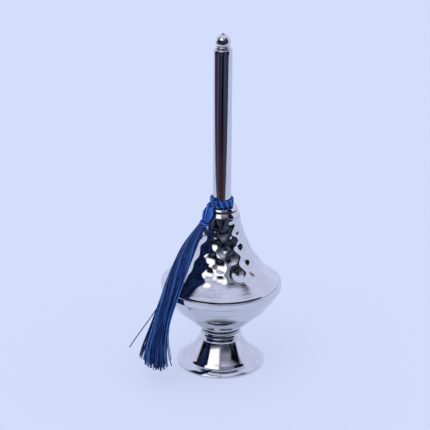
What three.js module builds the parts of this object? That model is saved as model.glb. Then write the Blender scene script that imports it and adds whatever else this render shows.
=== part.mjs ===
// A rosewater sprinkler: a footed vessel with a hammered shoulder, a long neck that unscrews,
// and a silk tassel tied round the neck. Millimetres, +Z up, origin at the middle of the foot's
// underside. The tassel hangs at the front left.
import * as THREE from 'three';

// Clearances
const seatGap = 0.1; // between faces that rest on each other or are soldered together
const slipGap = 0.3; // round anything that turns, slides or hangs beside another piece

// Foot, spun from sheet
const sheet = 0.9;
const footRadius = 30.8;
const footHeight = 24.6;
const footEdge = 1.3; // upright edge of the rim
const footHem = 3.2; // width of the turned-in rim that stands on the table
const flangeWidth = 5.4;
const flangeRise = 3.2;
const flangeCrown = 1.2; // how far the flange arches above a straight slope
const stepWidth = 1.0; // step from the flange to the trumpet
const stepRise = 1.5;
const throatRadius = 15.1;
const throatDrop = 5.4; // top of the trumpet, below the foot's top
const trumpetPull = 6.8; // the trumpet's hollow, from its lower edge
const grooveDepth = 2.1; // groove above the throat
const footBeadReach = 0.5; // bead above the groove
const edgeRound = 0.3;

// Ring between foot and bowl
const stemRingRadius = 14.3;
const stemRingBore = 7.0;
const stemRingHeight = 1.9;

// Bowl, spun from sheet
const bowlBaseRadius = 14.9;
const bowlHeight = 35.1;
const lowLedgeRadius = 31.2;
const lowLedgeHeight = 16.2; // above the bowl's base
const highLedgeRadius = 37.6;
const highLedgeHeight = 24.6;
const brimRadius = 42.2;
const brimBand = 4.6; // height of the upright band at the brim
const brimRound = 1.2;
const ledgeStep = 0.5;
const lipWidth = 2.6; // turned-in lip that carries the shoulder

// Shoulder, hammered from sheet
const shoulderHeight = 49.9;
const shoulderInset = 0.5; // its lower edge, inside the lip's outer edge
const shoulderTopRadius = 12.9;
const lowerPull = [11.8, 9.2]; // how far the lower curve runs in and up
const upperPull = [3.0, 20.8]; // how far the upper curve runs out and down
const solderWidth = 1.4;
const solderHeight = 1.6;

// Screw joint of mouth and neck
const threadRadius = 7.4; // root of the ferrule's thread
const threadDepth = 0.7;
const threadPitch = 1.5;
const threadTurns = 5;
const spigotLead = 0.8; // plain end below the thread
const mouthWall = 1.1; // metal behind the mouth's thread
const mouthBeadRadius = 11.9;
const mouthBeadHeight = 3.6;
const washerWidth = 1.8;
const washerThickness = 0.8;
const ferruleBeadRadius = 10.9;
const ferruleBeadHeight = 1.7;
const ferruleTaper = 0.5; // height of the slope above the bead
const beadRound = 0.6; // how far a bead's middle stands out from its edges

// Tube
const tubeRadius = 6.35;
const tubeWall = 0.65;
const tubeRise = 110.9; // above the ferrule
const tubeFloor = 2.0; // metal under the tube's lower end
const tubeLedge = 0.9; // width of the ledge that the tube stands on
const tubeEndRound = 1.1;
const tubeEndHole = 4.1;

// Cap, ball and nib
const capRadius = 5.2;
const capHeight = 1.8;
const plugDepth = 4.5;
const capBore = 2.2;
const ballRadius = 5.1;
const ballSeatRadius = 4.2; // where the ball is cut flat
const ballWall = 0.7;
const nibRadius = 1.1;
const nibBore = 0.45;
const nibRise = 0.5; // above the ball
const nibDepth = 1.4; // below the ball's top

// Silk cord and tassel
const cordDiameter = 1.8;
const cordTurns = 2.85;
const knotAzimuth = 231; // degrees from +X
const knotRadius = 13.0;
const knotRise = 2.5; // above the lowest strand
const firstLegBends = [9, 17, 28]; // degrees past the knot
const windLag = 40; // degrees from the knot to the first turn
const lastLegBends = [9, 13]; // degrees past the last turn
const headLength = 11.0;
const headRadius = 3.8;
const headTopRadius = 1.4;
const headShares = [0.12, 0.45, 0.8]; // of its length: crown, widest part and slope to the waist
const waistRadius = 2.0;
const waistReach = 4.4; // from the shoulder's top to the waist
const waistDrop = 6.8; // below the ferrule
const waistAzimuth = 224;
const bindingLength = 3.0;
const bindingThickness = 0.8;
const skirtAzimuth = 218;
const skirtEndAzimuth = 215;
const skirtEndHeight = 6.0; // above the table
const skirtFlare = 10.4; // from the brim out to the ends
const upperBow = 1.8; // outward bow between waist and brim
const lowerBow = 3.6; // outward bow between brim and ends
const skirtTopWidth = 6.2;
const skirtTopThickness = 4.4;
const skirtWidth = 18.4;
const skirtThickness = 5.0;
const brimSkirtThickness = 4.4; // of the skirt, where it lies on the brim
const skirtEndWidth = 24.0;
const skirtEndThickness = 11.0;
const skirtShares = [0.2, 0.4, 0.55, 0.75]; // of its length: where it has spread, fills out,
// lies on the brim and flares again
const skirtSpread = 0.8; // width where it has spread, against its full width

// Facets
const wideFacets = 32;
const neckFacets = 24;
const smallFacets = 16;
const threadRows = 6; // for each pitch
const beadSteps = 4;
const flangeSteps = 4;
const trumpetSteps = 5;
const shoulderSteps = 10;
const ballSteps = 9;
const cordFacets = 8;
const windSteps = 14; // for each turn of the cord
const cordSteps = 76;
const tasselFacets = 14;
const headRings = 14;
const skirtRings = 18;

const plate = new THREE.MeshStandardMaterial({ color: 0xd9dbe2, roughness: 0.12, metalness: 1 });
const solder = new THREE.MeshStandardMaterial({ color: 0xb9bcc2, roughness: 0.4, metalness: 1 });
const leather = new THREE.MeshStandardMaterial({ color: 0x3b2a20, roughness: 0.8, metalness: 0 });
const silk = new THREE.MeshStandardMaterial({ color: 0x173f86, roughness: 0.45, metalness: 0 });

// Heights of the faces that pieces stand on, from the table up
const stemRingBase = footHeight + seatGap;
const bowlBase = stemRingBase + stemRingHeight + seatGap;
const brimTop = bowlBase + bowlHeight;
const shoulderBase = brimTop + seatGap;
const mouthBase = shoulderBase + shoulderHeight + seatGap;
const mouthTop = mouthBase + mouthBeadHeight;
const washerBase = mouthTop + seatGap;
const ferruleBase = washerBase + washerThickness + seatGap;
const ferruleTop = ferruleBase + ferruleBeadHeight + ferruleTaper;
const threadTop = mouthTop - threadPitch / 2;
const threadBase = threadTop - threadTurns * threadPitch;
const spigotBase = threadBase - spigotLead;
const tubeBase = spigotBase + tubeFloor;
const tubeTop = ferruleTop + tubeRise;
const capBase = tubeTop + seatGap;
const ballBase = capBase + capHeight + seatGap;
const ballMiddle = ballBase + Math.sqrt(ballRadius ** 2 - ballSeatRadius ** 2);
const ballTop = ballMiddle + ballRadius;
const strandRise = cordDiameter + seatGap;
const windBase = ferruleTop + seatGap + cordDiameter / 2;
const knotHeight = windBase + knotRise;

// Radii that several pieces share
const mouthOpenRadius = threadRadius + threadDepth + slipGap;
const sleeveRadius = mouthOpenRadius + mouthWall;
const tubeInside = tubeRadius - tubeWall;

const TAU = 2 * Math.PI;
const fullTurn = 360;

// An outline is a list of [radius, height]

// Points of a curve between two outline points, without its ends
function bend(from, pulls, to, steps) {
  const [start, first, second, end] = [from, pulls[0], pulls[pulls.length - 1], to].map(
    (p) => new THREE.Vector2(...p),
  );
  const curve = pulls.length === 1
    ? new THREE.QuadraticBezierCurve(start, first, end)
    : new THREE.CubicBezierCurve(start, first, second, end);
  return curve.getPoints(steps).slice(1, -1).map((p) => [p.x, p.y]);
}

// Points of an arc about the ball's middle, ends included
function arc(radius, from, to) {
  const points = [];
  for (let i = 0; i <= ballSteps; i += 1) {
    const angle = from + ((to - from) * i) / ballSteps;
    points.push([radius * Math.cos(angle), radius * Math.sin(angle)]);
  }
  return points;
}

// Middle of the quarter round on an outline's upper outer corner
function cornerMiddle(radius, height, round) {
  const inset = round * (1 - Math.SQRT1_2);
  return [radius - inset, height - inset];
}

// Points of a half-round bead, from its lower edge to its upper edge
function bead(edgeRadius, reach, low, high) {
  const half = (high - low) / 2;
  const points = [];
  for (let i = 0; i <= beadSteps; i += 1) {
    const angle = (Math.PI * i) / beadSteps - Math.PI / 2;
    points.push([edgeRadius + reach * Math.cos(angle), low + half + half * Math.sin(angle)]);
  }
  return points;
}

// The same outline moved in by the sheet's thickness, for a wall that runs upwards
function innerSide(outline) {
  return outline.map(([radius, height], i) => {
    const before = outline[Math.max(i - 1, 0)];
    const after = outline[Math.min(i + 1, outline.length - 1)];
    const length = Math.hypot(after[0] - before[0], after[1] - before[1]);
    const across = (after[0] - before[0]) / length;
    const up = (after[1] - before[1]) / length;
    return [radius - up * sheet, height + across * sheet];
  });
}

// A solid turned about +Z. The outline closes on itself, or starts and ends on the axis
function turned(outline, facets) {
  const points = outline.map((p) => new THREE.Vector2(...p));
  const area = points.reduce((sum, p, i) => sum + p.cross(points[(i + 1) % points.length]), 0);
  if (area < 0) points.reverse();
  if (points[0].x > 0) points.push(points[0].clone());
  return new THREE.LatheGeometry(points, facets).rotateX(Math.PI / 2);
}

// Heights of the rows that a thread is cut in, from its lower end to its upper end
function threadHeights() {
  const rows = threadTurns * threadRows;
  return Array.from({ length: rows + 1 }, (_, i) => threadBase + (i * threadPitch) / threadRows);
}

// Cuts a right-hand thread into a straight wall of a turned solid. A ridged thread fades into
// the wall at its ends, and a grooved one runs out of it
function cutThread(geometry, wallRadius, grooved) {
  const points = geometry.getAttribute('position');
  const p = new THREE.Vector3();
  for (let i = 0; i < points.count; i += 1) {
    p.fromBufferAttribute(points, i);
    const radius = Math.hypot(p.x, p.y);
    const fade = Math.min(1, (p.z - threadBase) / threadPitch, (threadTop - p.z) / threadPitch);
    if (Math.abs(radius - wallRadius) < seatGap / 2 && fade > -seatGap) {
      const turn = p.z / threadPitch - Math.atan2(p.y, p.x) / TAU;
      const ridge = 1 - Math.abs(2 * (turn - Math.floor(turn)) - 1);
      const strength = Math.max(0, fade);
      const depth = threadDepth * (grooved ? 1 - (1 - ridge) * strength : ridge * strength);
      points.setXYZ(i, p.x * (1 + depth / radius), p.y * (1 + depth / radius), p.z);
    }
  }
  return geometry;
}

// A mesh that stands at a height on the axis
function piece(name, geometry, material, height = 0) {
  const mesh = new THREE.Mesh(geometry, material);
  mesh.name = name;
  mesh.position.z = height;
  return mesh;
}

// Foot: hemmed rim, arched flange, trumpet, groove and bead, closed on top
function foot() {
  const flangeTop = footEdge + flangeRise;
  const flangeInner = footRadius - flangeWidth;
  const trumpetStart = [flangeInner - stepWidth, flangeTop + stepRise];
  const trumpetHollow = [trumpetStart[0] - trumpetPull, trumpetStart[1] + trumpetPull];
  const throat = [throatRadius, footHeight - throatDrop];
  const grooveRadius = throatRadius - grooveDepth;
  const grooveHeight = throat[1] + grooveDepth;
  const archPull = [footRadius - flangeWidth / 2, footEdge + flangeRise / 2 + flangeCrown];
  const flange = [
    [footRadius, footEdge],
    ...bend([footRadius, footEdge], [archPull], [flangeInner, flangeTop], flangeSteps),
    [flangeInner, flangeTop],
  ];
  const trumpet = [trumpetStart, ...bend(trumpetStart, [trumpetHollow], throat, trumpetSteps), throat];
  return turned([
    [0, footHeight - sheet],
    [grooveRadius - sheet, footHeight - sheet],
    [grooveRadius - sheet, grooveHeight - sheet],
    ...innerSide(trumpet).reverse(),
    ...innerSide(flange).reverse().slice(0, -1),
    [footRadius - sheet - edgeRound, sheet],
    [footRadius - footHem, sheet],
    [footRadius - footHem, 0],
    [footRadius - edgeRound, 0],
    [footRadius, edgeRound],
    ...flange,
    ...trumpet,
    [throatRadius, throat[1] + sheet],
    ...bead(grooveRadius, footBeadReach, grooveHeight, footHeight - edgeRound),
    [grooveRadius - sheet, footHeight],
    [0, footHeight],
  ], wideFacets);
}

// Turned ring that is soldered between foot and bowl
function stemRing() {
  return turned([
    [stemRingBore, 0],
    ...bead(stemRingRadius - beadRound, beadRound, 0, stemRingHeight),
    [stemRingBore, stemRingHeight],
  ], wideFacets);
}

// Bowl: flat base, three bands with turned ledges between them, upright brim and inner lip
function bowl() {
  const bandBase = bowlHeight - brimBand;
  const outside = [
    [bowlBaseRadius, sheet],
    [lowLedgeRadius, lowLedgeHeight],
    [lowLedgeRadius + ledgeStep, lowLedgeHeight + ledgeStep],
    [highLedgeRadius, highLedgeHeight],
    [highLedgeRadius + ledgeStep, highLedgeHeight + ledgeStep],
    [brimRadius - ledgeStep, bandBase],
    [brimRadius, bandBase + brimRound],
  ];
  const smooth = outside.filter((_, i) => i !== 2 && i !== 4);
  return turned([
    [0, sheet],
    ...innerSide(smooth),
    [brimRadius - sheet, bowlHeight - sheet - brimRound / 2],
    [brimRadius - brimRound, bowlHeight - sheet],
    [brimRadius - brimRound - lipWidth, bowlHeight - sheet],
    [brimRadius - brimRound - lipWidth, bowlHeight],
    [brimRadius - brimRound, bowlHeight],
    cornerMiddle(brimRadius, bowlHeight, brimRound),
    [brimRadius, bowlHeight - brimRound],
    ...outside.reverse(),
    [bowlBaseRadius - sheet, 0],
    [0, 0],
  ], wideFacets);
}

// Shoulder: concave cone on the bowl's lip, closed on top by a flat ring round the mouth
function shoulder() {
  const low = [brimRadius - brimRound - shoulderInset, 0];
  const high = [shoulderTopRadius, shoulderHeight - sheet];
  const lowPull = [low[0] - lowerPull[0], low[1] + lowerPull[1]];
  const highPull = [high[0] + upperPull[0], high[1] - upperPull[1]];
  const outside = [low, ...bend(low, [lowPull, highPull], high, shoulderSteps), high];
  const inner = innerSide(outside);
  const slope = (inner[1][0] - inner[0][0]) / (inner[1][1] - inner[0][1]);
  inner[0] = [inner[0][0] - inner[0][1] * slope, 0];
  inner[inner.length - 1] = [high[0] - sheet, high[1]];
  return turned([
    ...outside,
    [shoulderTopRadius - sheet / 2, shoulderHeight],
    [sleeveRadius + slipGap, shoulderHeight],
    [sleeveRadius + slipGap, shoulderHeight - sheet],
    ...inner.reverse(),
  ], wideFacets);
}

// Solder inside the seam of bowl and shoulder
function seamSolder() {
  const outer = brimRadius - brimRound - lipWidth - seatGap;
  return turned([
    [outer - solderWidth, 0],
    [outer, 0],
    [outer, solderHeight - solderWidth / 2],
    [outer - solderWidth / 2, solderHeight],
    [outer - solderWidth, solderHeight - solderWidth / 2],
  ], wideFacets);
}

// Mouth: bead on the shoulder, and a threaded sleeve that hangs inside it
function mouthCollar() {
  const sleeveEnd = threadBase - spigotLead / 2;
  const wallRadius = threadRadius + slipGap;
  return cutThread(turned([
    [mouthOpenRadius, sleeveEnd],
    [sleeveRadius, sleeveEnd],
    [sleeveRadius, mouthBase],
    ...bead(mouthBeadRadius - beadRound, beadRound, mouthBase, mouthTop),
    [mouthOpenRadius + slipGap, mouthTop],
    ...threadHeights().reverse().map((height) => [wallRadius, height]),
  ], neckFacets), wallRadius, true);
}

// Flat washer that seals the neck on the mouth
function neckWasher() {
  return turned([
    [mouthOpenRadius, 0],
    [mouthOpenRadius + washerWidth, 0],
    [mouthOpenRadius + washerWidth, washerThickness],
    [mouthOpenRadius, washerThickness],
  ], neckFacets);
}

// Ferrule: threaded spigot, bead, and a socket for the tube
function neckFerrule() {
  const socket = tubeRadius + seatGap;
  const bore = tubeRadius - tubeLedge;
  return cutThread(turned([
    [bore, spigotBase],
    [threadRadius - spigotLead / 2, spigotBase],
    [threadRadius, spigotBase + spigotLead / 2],
    ...threadHeights().map((height) => [threadRadius, height]),
    [threadRadius, ferruleBase],
    ...bead(ferruleBeadRadius - beadRound, beadRound, ferruleBase, ferruleTop - ferruleTaper),
    [socket + tubeLedge, ferruleTop],
    [socket, ferruleTop],
    [socket, tubeBase],
    [bore, tubeBase],
  ], neckFacets), threadRadius, false);
}

// Tube, turned in at the top round the hole for the cap
function neckTube() {
  const length = tubeTop - tubeBase;
  return turned([
    [tubeRadius, 0],
    [tubeRadius, length - tubeEndRound],
    cornerMiddle(tubeRadius, length, tubeEndRound),
    [tubeRadius - tubeEndRound, length],
    [tubeEndHole, length],
    [tubeEndHole, length - tubeWall],
    [tubeRadius - tubeEndRound, length - tubeWall],
    [tubeInside, length - tubeEndRound],
    [tubeInside, 0],
  ], neckFacets);
}

// Cap: a disc on the tube's end with a bored plug below it
function neckCap() {
  const plugRadius = tubeEndHole - slipGap;
  return turned([
    [capBore, -plugDepth],
    [plugRadius - seatGap, -plugDepth],
    [plugRadius, -plugDepth + slipGap],
    [plugRadius, 0],
    ...bead(capRadius - beadRound, beadRound, 0, capHeight),
    [capBore, capHeight],
  ], smallFacets);
}

// Hollow ball, cut flat below and holed on top for the nib
function sprinklerBall() {
  const inner = ballRadius - ballWall;
  const drop = ballBase - ballMiddle;
  const hole = nibRadius + seatGap;
  return turned([
    ...arc(ballRadius, Math.asin(drop / ballRadius), Math.acos(hole / ballRadius)),
    ...arc(inner, Math.acos(hole / inner), Math.asin(drop / inner)),
  ], smallFacets);
}

// Pierced nib that the water leaves by
function sprayNib() {
  return turned([
    [nibBore, -nibDepth],
    [nibRadius, -nibDepth],
    [nibRadius, nibRise - nibBore],
    [nibRadius - nibBore, nibRise],
    [nibBore, nibRise],
  ], smallFacets);
}

// A point at a radius, a height and an azimuth in degrees
function around(radius, height, azimuth) {
  const angle = THREE.MathUtils.degToRad(azimuth);
  return new THREE.Vector3(radius * Math.cos(angle), radius * Math.sin(angle), height);
}

// Cord: from the knot round the tube and back to the knot, beside its first leg
function loopCord() {
  const windRadius = tubeRadius + seatGap + cordDiameter / 2;
  const legShift = THREE.MathUtils.radToDeg((cordDiameter + seatGap) / 2 / knotRadius);
  const passing = windRadius + cordDiameter + 2 * seatGap;
  const windStart = knotAzimuth + windLag;
  const windEnd = windStart + cordTurns * fullTurn;
  const windTop = windBase + cordTurns * strandRise;
  const firstBends = firstLegBends.map((turn) => knotAzimuth + turn);
  const lastBends = lastLegBends.map((turn) => windEnd + turn);
  const firstLeg = [
    around(knotRadius, knotHeight, knotAzimuth + legShift),
    around((knotRadius + passing) / 2, knotHeight - knotRise / 2, firstBends[0]),
    around(passing, windBase + 2 * seatGap, firstBends[1]),
    around((passing + windRadius) / 2, windBase, firstBends[2]),
  ];
  const steps = Math.ceil(cordTurns * windSteps);
  const winding = Array.from({ length: steps + 1 }, (_, i) => around(
    windRadius,
    windBase + ((windTop - windBase) * i) / steps,
    windStart + ((windEnd - windStart) * i) / steps,
  ));
  const lastLeg = [
    around((windRadius + passing) / 2, windTop, lastBends[0]),
    around((passing + knotRadius) / 2 - seatGap, windTop - cordDiameter / 4, lastBends[1]),
    around(knotRadius - cordDiameter / 2, knotHeight + cordDiameter / 2, knotAzimuth - legShift),
    around(knotRadius, knotHeight, knotAzimuth - legShift),
  ];
  const route = new THREE.CatmullRomCurve3([...firstLeg, ...winding, ...lastLeg]);
  const section = new THREE.Shape();
  section.absarc(0, 0, cordDiameter / 2, 0, TAU);
  return new THREE.ExtrudeGeometry(section, {
    extrudePath: route, steps: cordSteps, curveSegments: cordFacets / 2, bevelEnabled: false,
  });
}

// Line down the middle of the tassel: from the knot past the mouth's bead, along the shoulder
// without lying on it, over the brim and down beside the bowl
function tasselRoute() {
  const beadRadius = Math.max(ferruleBeadRadius, mouthBeadRadius);
  const top = knotHeight - cordDiameter / 2 - slipGap;
  const waist = [Math.max(mouthBeadRadius, shoulderTopRadius) + waistReach, ferruleBase - waistDrop];
  const brim = [brimRadius + 2 * slipGap + brimSkirtThickness / 2, brimTop - brimRound];
  const end = [brim[0] + skirtFlare, skirtEndHeight];
  const between = (from, to, share, bow, azimuth) => around(
    from[0] + (to[0] - from[0]) * share + bow,
    from[1] + (to[1] - from[1]) * share,
    azimuth,
  );
  return new THREE.CatmullRomCurve3([
    around(knotRadius + slipGap, top, knotAzimuth),
    around(beadRadius + slipGap + headRadius, (top + waist[1]) / 2, knotAzimuth),
    around(...waist, waistAzimuth),
    between(waist, brim, 1 / 3, upperBow, skirtAzimuth),
    between(waist, brim, 2 / 3, upperBow, skirtAzimuth),
    around(...brim, skirtAzimuth),
    between(brim, end, 1 / 3, lowerBow, (2 * skirtAzimuth + skirtEndAzimuth) / 3),
    between(brim, end, 2 / 3, lowerBow, (skirtAzimuth + 2 * skirtEndAzimuth) / 3),
    around(...end, skirtEndAzimuth),
  ]);
}

// A solid along the tassel's line. Each station is [distance, width, thickness]
function alongRoute(route, stations, rings) {
  const geometry = new THREE.CylinderGeometry(1, 1, 1, tasselFacets, rings);
  const sizes = new THREE.CatmullRomCurve3(stations.map((s) => new THREE.Vector3(...s)));
  const length = route.getLength();
  const points = geometry.getAttribute('position');
  const p = new THREE.Vector3();
  for (let i = 0; i < points.count; i += 1) {
    p.fromBufferAttribute(points, i);
    const size = sizes.getPoint(p.y + 0.5);
    const share = THREE.MathUtils.clamp(size.x / length, 0, 1);
    const middle = route.getPointAt(share);
    const along = route.getTangentAt(share);
    const across = new THREE.Vector3(-middle.y, middle.x, 0).projectOnPlane(along).normalize();
    const out = across.clone().cross(along);
    middle.addScaledVector(across, (p.x * size.y) / 2).addScaledVector(out, (p.z * size.z) / 2);
    points.setXYZ(i, middle.x, middle.y, middle.z);
  }
  return geometry;
}

// Head: the folded threads, with a waist that the binding goes round
function tasselHead(route) {
  const [crown, widest, slope] = headShares.map((share) => share * headLength);
  const round = (distance, radius) => [distance, 2 * radius, 2 * radius];
  return alongRoute(route, [
    round(0, headTopRadius),
    round(crown, (headTopRadius + headRadius) / 2),
    round(widest, headRadius),
    round(slope, (headRadius + waistRadius) / 2),
    round(headLength, waistRadius),
    round(headLength + bindingLength, waistRadius),
  ], headRings);
}

// Binding: thread wound round the waist
function tasselBinding() {
  const bore = waistRadius + slipGap;
  const round = bindingThickness / 2;
  return turned([
    [bore, -bindingLength / 2],
    ...bead(bore + round, round, -bindingLength / 2, bindingLength / 2),
    [bore, bindingLength / 2],
  ], tasselFacets);
}

// Skirt: the hanging threads, as one soft bundle
function tasselSkirt(route) {
  const start = headLength + bindingLength + slipGap;
  const length = route.getLength() - start;
  const [spread, full, onBrim, flare] = skirtShares.map((share) => start + share * length);
  return alongRoute(route, [
    [start, skirtTopWidth, skirtTopThickness],
    [spread, skirtWidth * skirtSpread, skirtThickness],
    [full, skirtWidth, skirtThickness],
    [onBrim, skirtWidth, brimSkirtThickness],
    [flare, (skirtWidth + skirtEndWidth) / 2, (brimSkirtThickness + skirtEndThickness) / 2],
    [start + length, skirtEndWidth, skirtEndThickness],
  ], skirtRings);
}

function vesselPieces() {
  const vessel = new THREE.Group();
  vessel.add(
    piece('foot', foot(), plate),
    piece('stem_ring', stemRing(), plate, stemRingBase),
    piece('bowl', bowl(), plate, bowlBase),
    piece('seam_solder', seamSolder(), solder, brimTop + seatGap - solderHeight / 2),
    piece('shoulder', shoulder(), plate, shoulderBase),
    piece('mouth_collar', mouthCollar(), plate),
  );
  return vessel;
}

function neckPieces() {
  const neck = new THREE.Group();
  neck.add(
    piece('neck_washer', neckWasher(), leather, washerBase),
    piece('neck_ferrule', neckFerrule(), plate),
    piece('neck_tube', neckTube(), plate, tubeBase),
    piece('neck_cap', neckCap(), plate, capBase),
    piece('sprinkler_ball', sprinklerBall(), plate, ballMiddle),
    piece('spray_nib', sprayNib(), plate, ballTop),
  );
  return neck;
}

function tasselPieces() {
  const route = tasselRoute();
  const binding = piece('tassel_binding', tasselBinding(), silk);
  const share = (headLength + bindingLength / 2) / route.getLength();
  binding.position.copy(route.getPointAt(share));
  binding.quaternion.setFromUnitVectors(new THREE.Vector3(0, 0, 1), route.getTangentAt(share));
  const tassel = new THREE.Group();
  tassel.add(
    piece('loop_cord', loopCord(), silk),
    piece('tassel_head', tasselHead(route), silk),
    binding,
    piece('tassel_skirt', tasselSkirt(route), silk),
  );
  return tassel;
}

const sprinkler = new THREE.Group();
sprinkler.add(vesselPieces(), neckPieces(), tasselPieces());

export default sprinkler;
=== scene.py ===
"""A rosewater sprinkler in bright plate: a footed vessel with a hammered shoulder, a long neck
with a ball spout, and a silk tassel tied round the neck. Lengths are in metres, +Z is up, and the
camera looks along +Y."""

import math
from functools import partial

import bmesh
import bpy
import numpy as np
from bpy.props import FloatProperty, FloatVectorProperty, IntProperty, PointerProperty
from mathutils import Matrix, Vector


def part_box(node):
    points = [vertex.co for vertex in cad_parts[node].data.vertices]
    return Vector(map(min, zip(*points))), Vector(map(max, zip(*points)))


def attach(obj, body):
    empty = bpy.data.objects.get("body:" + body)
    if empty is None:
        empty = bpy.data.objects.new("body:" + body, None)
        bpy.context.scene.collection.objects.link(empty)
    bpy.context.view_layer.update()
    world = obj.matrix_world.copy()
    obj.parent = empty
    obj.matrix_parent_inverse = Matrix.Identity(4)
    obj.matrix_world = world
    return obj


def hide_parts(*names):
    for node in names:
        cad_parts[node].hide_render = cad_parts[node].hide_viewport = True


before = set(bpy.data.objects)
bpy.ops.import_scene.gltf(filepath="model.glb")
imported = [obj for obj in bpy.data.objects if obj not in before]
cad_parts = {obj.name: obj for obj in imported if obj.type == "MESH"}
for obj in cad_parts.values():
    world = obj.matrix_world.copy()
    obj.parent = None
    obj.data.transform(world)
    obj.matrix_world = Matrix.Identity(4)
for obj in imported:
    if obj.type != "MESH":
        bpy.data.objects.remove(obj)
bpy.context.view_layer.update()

bl_info = {
    "name": "Rosewater Sprinkler",
    "version": (1, 0, 0),
    "blender": (4, 5, 0),
    "location": "View3D > Sidebar > Sprinkler",
    "description": "Builds a plated rosewater sprinkler with a silk tassel over its frame",
    "category": "Add Mesh",
}

MM = 0.001
TURN = 2 * math.pi
UP = (0.0, 0.0, 1.0)

# Segments of the turned pieces, and points of their curves
WIDE_SEGMENTS = 256
NECK_SEGMENTS = 144
SHOULDER_SEGMENTS = 288
SHOULDER_RINGS = 128
SMALL_SEGMENTS = 96
TUBE_ROWS = 40
THREAD_ROWS_PER_TURN = 16
CURVE_STEPS = 28
BEAD_STEPS = 12
ROUND_STEPS = 4
SHARP_ANGLE = math.radians(32)

# Steps of a smooth line between two of the points that it runs through
CORD_SMOOTHING = 8
TASSEL_SMOOTHING = 12
SHAPE_SMOOTHING = 12
STRAY_SMOOTHING = 3

# A rounding takes up no more than this share of the straight beside it
ROUND_SHARE = 0.45
# How much of a sloped bead's lean is even over its height. The rest comes towards its top
EVEN_LEAN = 0.6

# Kinds of nodes that are added again and again
MATH = "ShaderNodeMath"
VECTOR = "ShaderNodeVectorMath"
RANGE = "ShaderNodeMapRange"
MIX = "ShaderNodeMixRGB"
NOISE = "ShaderNodeTexNoise"
BUMP = "ShaderNodeBump"
SPLIT = "ShaderNodeSeparateXYZ"
JOIN = "ShaderNodeCombineXYZ"
ROTATE = "ShaderNodeVectorRotate"
COORDINATES = "ShaderNodeTexCoord"
SHADER = "ShaderNodeBsdfPrincipled"
OUTPUT = "ShaderNodeOutputMaterial"
RANDOM = "FunctionNodeRandomValue"
STORE = "GeometryNodeStoreNamedAttribute"
STORED = "GeometryNodeInputNamedAttribute"
MOVE = "GeometryNodeSetPosition"
# Kind of a tree's input, by the type of its default
SOCKETS = {int: "NodeSocketInt", float: "NodeSocketFloat", tuple: "NodeSocketVector"}

# How strongly the buffing rings of each plated finish show
FAINT_RINGS = 0.03
TURNED_RINGS = 0.12
CONE_RINGS = 1.0
POLISHED_RINGS = 0.02
# Their spacing, and the size of their unevenness
RING_SPACING = 0.9 * MM
RING_WANDER = 22 * MM
# The cone's lower part was buffed less: up to this height, and fading out round it
BUFFED_BELOW = 80 * MM

# Painted light: how much lighter than its dye the silk of each part is painted. Tight threads
# catch more light, and this stands in for it
SILK_PAINTED_LIGHT = {"cord": 1.9, "head": 2.0, "binding": 2.5, "skirt": 1.1}


def length(name, description, millimetres):
    """A size in the sidebar, in metres."""
    return FloatProperty(name=name, description=description, default=millimetres * MM,
                         min=0.0, unit="LENGTH", precision=5)


def number(name, description, default):
    """A count or a share in the sidebar."""
    kind = IntProperty if isinstance(default, int) else FloatProperty
    return kind(name=name, description=description, default=default)


def hue(name, description, code):
    """A colour in the sidebar, from its sRGB hex code."""
    return FloatVectorProperty(name=name, description=description, default=linear(code),
                               size=4, min=0.0, max=1.0, subtype="COLOR")


def linear(code):
    """Linear RGBA of an sRGB hex code."""
    parts = [int(code[i:i + 2], 16) / 255 for i in (1, 3, 5)]
    return (*(c / 12.92 if c <= 0.04045 else ((c + 0.055) / 1.055) ** 2.4 for c in parts), 1.0)


# What the frame says

def span(node):
    """Lowest and highest height of a frame piece."""
    low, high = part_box(node)
    return low.z, high.z


def reach(node):
    """Outer radius of a turned frame piece."""
    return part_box(node)[1].x


class FrameSizes(bpy.types.PropertyGroup):
    """Sizes that several pieces share"""
    seat_gap: length("Seat gap", "Between faces that rest on each other", 0.1)
    slip_gap: length("Slip gap", "Round anything that turns or slides", 0.3)
    sheet: length("Sheet", "Thickness of the spun sheet", 0.9)
    bead_round: length("Bead round", "How far a bead's middle stands out from its edges", 0.6)
    edge_round: length("Edge round", "Rounding of small edges", 0.3)


class FootSizes(bpy.types.PropertyGroup):
    """Sizes of the spun foot"""
    edge: length("Edge", "Height of the rim's upright edge", 1.3)
    hem: length("Hem", "Width of the turned-in rim", 3.2)
    flange_width: length("Flange width", "Width of the arched flange", 5.4)
    flange_rise: length("Flange rise", "Rise of the arched flange", 3.2)
    crown: length("Crown", "How far the flange arches above a slope", 1.2)
    step_width: length("Step width", "Step from flange to trumpet", 1.0)
    step_rise: length("Step rise", "Step from flange to trumpet", 1.5)
    throat: length("Throat", "Radius of the trumpet's top", 15.1)
    throat_drop: length("Throat drop", "Trumpet's top, below the foot's top", 5.4)
    pull: length("Pull", "Hollow of the trumpet", 6.8)
    groove: length("Groove", "Depth of the groove above the throat", 2.1)
    bead_reach: length("Bead reach", "How far the bead stands out above the groove", 1.4)
    bead_rise: length("Bead rise", "Height of the bead's under side", 1.2)
    bevel: length("Bevel", "Height of the bevel on the bead", 0.7)
    bevel_width: length("Bevel width", "How far the bevel leans in", 0.42)
    collar_lean: length("Collar lean", "How far the collar above the bead leans in", 0.2)
    stem_bore: length("Stem bore", "Radius of the hole in the ring on the foot", 7.0)


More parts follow.
